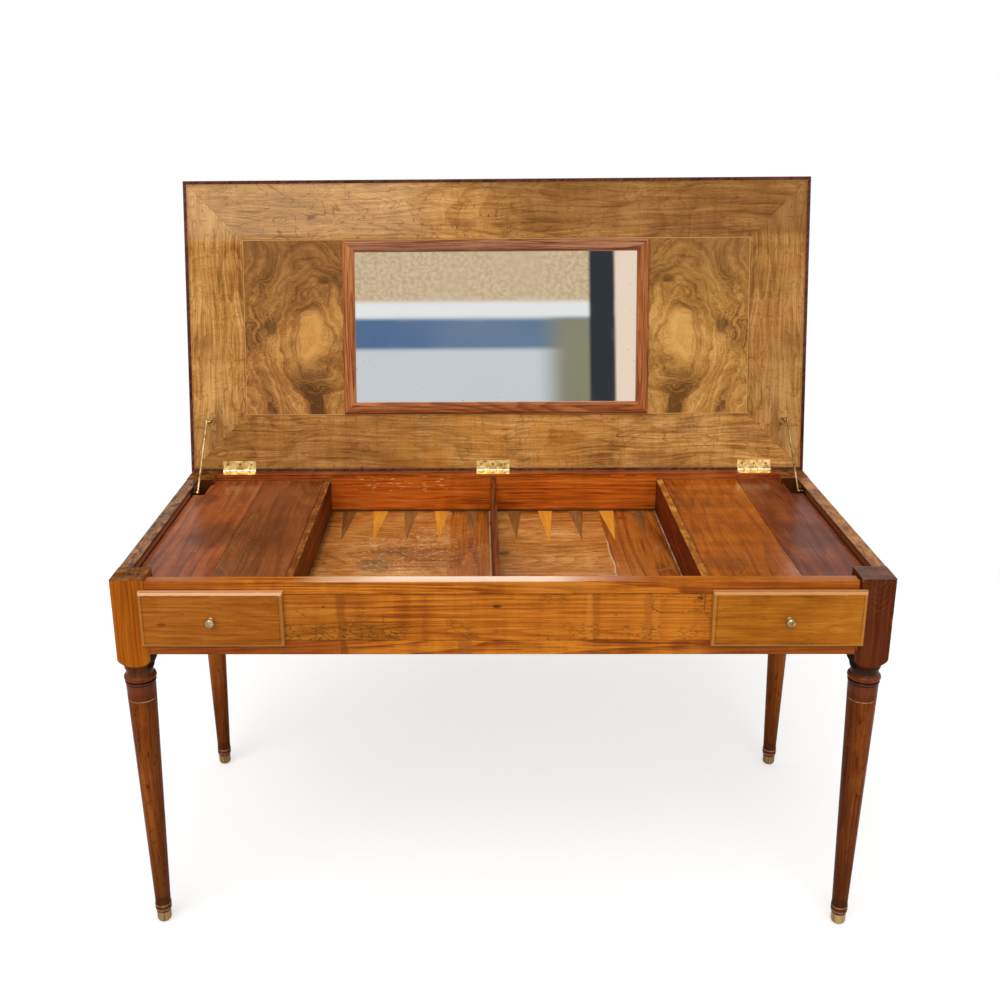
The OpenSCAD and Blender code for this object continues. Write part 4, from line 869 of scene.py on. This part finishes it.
def paint_well():
    """The well, its points and the plain inner parts."""
    paint(floor_wood(), "well_floor")
    paint(lining_wood(), "well_lining")
    ochre = ((104, 54, 16), (168, 100, 36), (200, 140, 66))
    brown = ((92, 44, 18), (128, 68, 28), (160, 96, 44))
    red = ((84, 36, 18), (112, 52, 26), (138, 72, 38))
    dress(wall_wood, "wall_left_wood", "well_wall_left", 1.0, (106, 52, 18), (66, 30, 10), brown, line=0.6)
    dress(wall_wood, "wall_right_wood", "well_wall_right", 2.0, (122, 49, 19), (82, 31, 10), ochre,
          line=0.3)
    dress(wall_wood, "divider_wood", "centre_divider", 3.0, (112, 50, 20), (72, 28, 10), red, line=0.5)
    paint(inlay_wood("inlay_light", (196, 118, 28), (228, 152, 46), (242, 180, 76)), "points_light")
    paint(inlay_wood("inlay_dark", (106, 64, 30), (144, 92, 46), (172, 118, 64)), "points_dark")
    paint(plain_wood("block_wood"), "glue_blocks", "mirror_backing")
    paint(plain_wood("runner_wood", "y", 2.0), "cover_bearers", "drawer_runners")


def paint_covers():
    """Each blot: its centre and half sizes, and its strength."""
    dress(cover_wood, "cover_wood_lo", "cover_left_outer", 1.0, (102, 43, 18), (155, 80, 38),
          (184, 108, 60), coat=0.05, flecks=0.3, blots=(((-0.54, -0.12, COVER), (0.06, 0.08, 0.02), 0.55),
                                                        ((-0.60, 0.10, COVER), (0.03, 0.05, 0.02), 0.5)))
    dress(cover_wood, "cover_wood_li", "cover_left_inner", 2.0, (90, 40, 18), (132, 68, 32), (158, 92, 50),
          blots=(((-0.44, -0.02, COVER), (0.03, 0.2, 0.02), 0.3),))
    dress(cover_wood, "cover_wood_ri", "cover_right_inner", 3.0, (112, 46, 8), (162, 78, 14),
          (194, 110, 32), flame=0.8, flecks=0.6, blots=(((0.40, -0.26, COVER), (0.05, 0.04, 0.02), 0.4),))
    dress(cover_wood, "cover_wood_ro", "cover_right_outer", 4.0, (80, 32, 14), (121, 56, 26), (150, 82, 44),
          coat=0.05, flecks=0.3, blots=(((0.58, -0.12, COVER), (0.06, 0.09, 0.02), 0.5),))


def paint_drawers():
    """Each mark on a front: its place across and up, and its half sizes."""
    # The last colour of each is the painted highlight on the top of its lip
    for side, seed, tones, marks, pale in (
            ("left", 1.0, ((112, 56, 10), (161, 88, 20), (192, 120, 42)),
             ((0.038, 0.042, 0.009, 0.004), (0.075, 0.062, 0.003, 0.002)), (238, 186, 138)),
            ("right", 4.0, ((124, 66, 8), (173, 99, 18), (200, 130, 40)),
             ((0.262, 0.050, 0.0012, 0.014), (0.268, 0.034, 0.003, 0.002)), (212, 152, 96))):
        name = "drawer_" + side
        dress(drawer_wood, name + "_front_wood", name + "_front", seed, *tones, marks, pale)
        inner = plain_wood(name + "_inner_wood", "y", seed)
        paint(inner, name + "_side_outer", name + "_side_inner", name + "_bottom")
        paint(plain_wood(name + "_back_wood", "x", seed), name + "_back")


def paint_lid():
    paint(veneer_wood(), "lid_border")
    paint(plain_wood("lid_core_wood", "x", 5.0, (86, 44, 22), (134, 78, 40), (160, 104, 60)), "lid_core")
    paint(edging_wood(), "lid_edging")
    paint(burr_wood("burr_left_wood", (92, 56, 24), (162, 108, 52), (214, 156, 84), (222, 166, 86), 0.5),
          "lid_burr_left")
    paint(burr_wood("burr_right_wood", (104, 66, 28), (176, 124, 58), (220, 166, 92), (224, 170, 90), 0.48),
          "lid_burr_right")
    paint(mirror_glass(), "mirror_glass")
    # The top side's paler, greyer colour is partly the wood's own and partly a painted sheen
    for side, upright, seed, mid in (
            ("top", False, 1.0, (166, 112, 82)), ("bottom", False, 2.0, (160, 88, 42)),
            ("left", True, 3.0, (186, 112, 58)), ("right", True, 4.0, (172, 98, 50))):
        paint(frame_wood("frame_wood_" + side, upright, seed, mid), "mirror_frame_" + side)


def paint_metal():
    pins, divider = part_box("hinge_pins"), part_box("centre_divider")
    half = 35.5 * MM
    places = (pins[0].x + half, (divider[0].x + divider[1].x) / 2, pins[1].x - half)
    for material, names in (
            (brass("hinge_brass", (250, 226, 158), (226, 186, 112), (148, 106, 54), knuckles=places),
             ("hinge_case_leaves", "hinge_lid_leaves", "hinge_pins")),
            (brass("screw_brass", (196, 150, 84), (156, 108, 54), (96, 60, 26), rough=0.34),
             ("case_screws", "lid_screws")),
            (brass("old_brass", (190, 168, 124), (146, 124, 86), (84, 68, 44), rough=0.32),
             ("drawer_left_knob", "drawer_right_knob")),
            (brass("plate_brass", (208, 168, 102), (164, 122, 68), (98, 68, 36)),
             ("stay_plate_left", "stay_plate_right")),
            (brass("rod_brass_left", (228, 196, 146), (196, 158, 104), (126, 90, 50)), ("stay_rod_left",)),
            (brass("rod_brass_right", (176, 152, 104), (140, 114, 70), (84, 64, 36)), ("stay_rod_right",)),
            (brass("bracket_brass", (84, 66, 40), (54, 40, 24), (28, 20, 12), rough=0.4),
             ("stay_bracket_left", "stay_bracket_right"))):
        paint(material, *names)


paint_case()
paint_well()
paint_covers()
paint_drawers()
paint_lid()
paint_metal()
soften(["front_top_rail", "front_panel", "front_bottom_rail", "side_rail_left", "side_rail_right"],
       1.2 * MM)
soften(["cover_left_inner", "cover_left_outer", "cover_right_inner", "cover_right_outer", "well_wall_left",
        "well_wall_right", "centre_divider", "well_lining"], 0.8 * MM)
soften(["back_rail", "lid_edging"], 0.25 * MM)


# Room, light and camera
def seen(f):
    """One where the camera, a gloss or a glass looks at the surface."""
    path = f.node("ShaderNodeLightPath").outputs
    direct = f.add(path["Is Camera Ray"], path["Is Glossy Ray"])
    return f.math("ADD", direct, path["Is Transmission Ray"], clamp=True)


def make_floor():
    """A pale floor that keeps the shadow near the table and turns plain white away from it."""
    bpy.ops.mesh.primitive_grid_add(size=60, x_subdivisions=2, y_subdivisions=2)
    floor = bpy.context.object
    floor.name = "floor"
    f = Finish("floor_paint")
    grey = f.node("ShaderNodeBsdfDiffuse", {"Color": (FLOOR_GREY, FLOOR_GREY, FLOOR_GREY, 1)}).outputs[0]
    glow = f.emission((1, 1, 1, 1), f.mul(seen(f), FLOOR_GLOW))
    near = f.node("ShaderNodeAddShader", {0: grey, 1: glow}).outputs[0]
    x, y, _ = f.parts()
    away = f.math("SQRT", f.add(f.mul(x, x), f.mul(y, y)))
    share = f.mul(f.step(away, WHITE_FROM, WHITE_AT), seen(f))
    f.show(f.node("ShaderNodeMixShader", {0: share, 1: near, 2: f.emission((1, 1, 1, 1))}).outputs[0])
    floor.data.materials.append(f.mat)


def make_world():
    """A white room to the camera, a gloss or a glass, and a dimmer, warmer one to all other light."""
    world = bpy.data.worlds.new("room")
    bpy.context.scene.world = world
    w = Shader(world)
    dim = w.node("ShaderNodeBackground", {"Color": (1.0, 0.985, 0.96, 1),
                                          "Strength": ROOM_LIGHT}).outputs[0]
    white = w.node("ShaderNodeBackground", {"Color": (1, 1, 1, 1)}).outputs[0]
    mixed = w.node("ShaderNodeMixShader", {0: seen(w), 1: dim, 2: white}).outputs[0]
    w.node("ShaderNodeOutputWorld", {"Surface": mixed})


def make_card():
    """Soft bands of colour opposite the mirror, which only glossy rays see: a card that glows though it is no
    lamp, to paint the mirror's reflection.
    """
    side, low, high = 3.0, 1.2, 3.7
    corners = [(-side, CARD_Y, low), (side, CARD_Y, low), (side, CARD_Y, high), (-side, CARD_Y, high)]
    mesh = bpy.data.meshes.new("far_bands")
    mesh.from_pydata(corners, [], [(0, 1, 2, 3)])
    card = bpy.data.objects.new("far_bands", mesh)
    bpy.context.scene.collection.objects.link(card)
    f = Finish("far_bands_paint")
    x, _, z = f.parts()
    soft = 0.025
    f.colour = (206, 210, 216)
    for height, shade in ((2.09, (92, 118, 150)), (2.31, (240, 240, 240)), (2.43, (222, 194, 158))):
        f.lay(f.step(z, height - soft, height + soft), shade)
    blue = f.mul(f.band(z, 2.20, 0.09, soft), f.step(x, -0.1, -0.6))
    f.lay(blue, (36, 84, 140), 0.6)
    green = f.mul(f.step(x, 0.35, 0.60), f.step(z, 2.34, 2.28))
    f.lay(green, (134, 130, 102))
    f.lay(f.noise(f.here, 1.6, 3), (236, 236, 236), 0.12)
    plaster = f.mul(f.patches(34, 0.42, 0.58, 4, 0.75), f.step(z, 2.42, 2.46, 0.0, 0.5))
    f.lay(plaster, (168, 142, 108))
    f.lay(f.step(x, 0.90, 0.94), (246, 222, 200))
    f.lay(f.band(x, 0.835, 0.075, 0.03), (52, 56, 62))
    f.show(f.emission(f.colour))
    mesh.materials.append(f.mat)
    card.visible_camera = card.visible_diffuse = card.visible_shadow = card.visible_transmission = False


def make_sun(name, direction, strength, spread):
    """A soft light that shines along a direction, as wide as a spread in degrees."""
    lamp = bpy.data.lights.new(name, "SUN")
    lamp.energy = strength
    lamp.angle = math.radians(spread)
    lamp.specular_factor = 0.3
    o = bpy.data.objects.new(name, lamp)
    o.rotation_mode = "QUATERNION"
    o.rotation_quaternion = Vector(direction).to_track_quat("-Z", "Y")
    bpy.context.scene.collection.objects.link(o)


def make_camera():
    """The photograph's view: place and turn as fitted, with the shift that its framing needs."""
    yaw, pitch, roll = (math.radians(a) for a in CAMERA_TURNS)
    ahead = Vector((math.sin(yaw) * math.cos(pitch), math.cos(yaw) * math.cos(pitch), -math.sin(pitch)))
    right = Vector((math.cos(yaw), -math.sin(yaw), 0))
    up = right.cross(ahead)
    turned_right = right * math.cos(roll) + up * math.sin(roll)
    turned_up = up * math.cos(roll) - right * math.sin(roll)
    data = bpy.data.cameras.new("camera")
    data.sensor_width = 36
    data.lens = data.sensor_width * FOCAL
    data.shift_x = 0.5 - CENTRE[0]
    data.shift_y = CENTRE[1] - 0.5
    o = bpy.data.objects.new("camera", data)
    turn = Matrix((turned_right, turned_up, -ahead)).transposed()
    place = Vector((0, CASE_Y, RIM)) + Vector(CAMERA_FROM)
    o.matrix_world = Matrix.Translation(place) @ turn.to_4x4()
    bpy.context.scene.collection.objects.link(o)
    bpy.context.scene.camera = o


make_floor()
make_world()
make_card()
make_sun("key", (0.25, 0.75, -1.0), 1.5, 50)
make_sun("fill", (-0.35, 1.0, -0.25), 0.55, 80)
make_camera()
bpy.context.scene.view_settings.view_transform = "Standard"
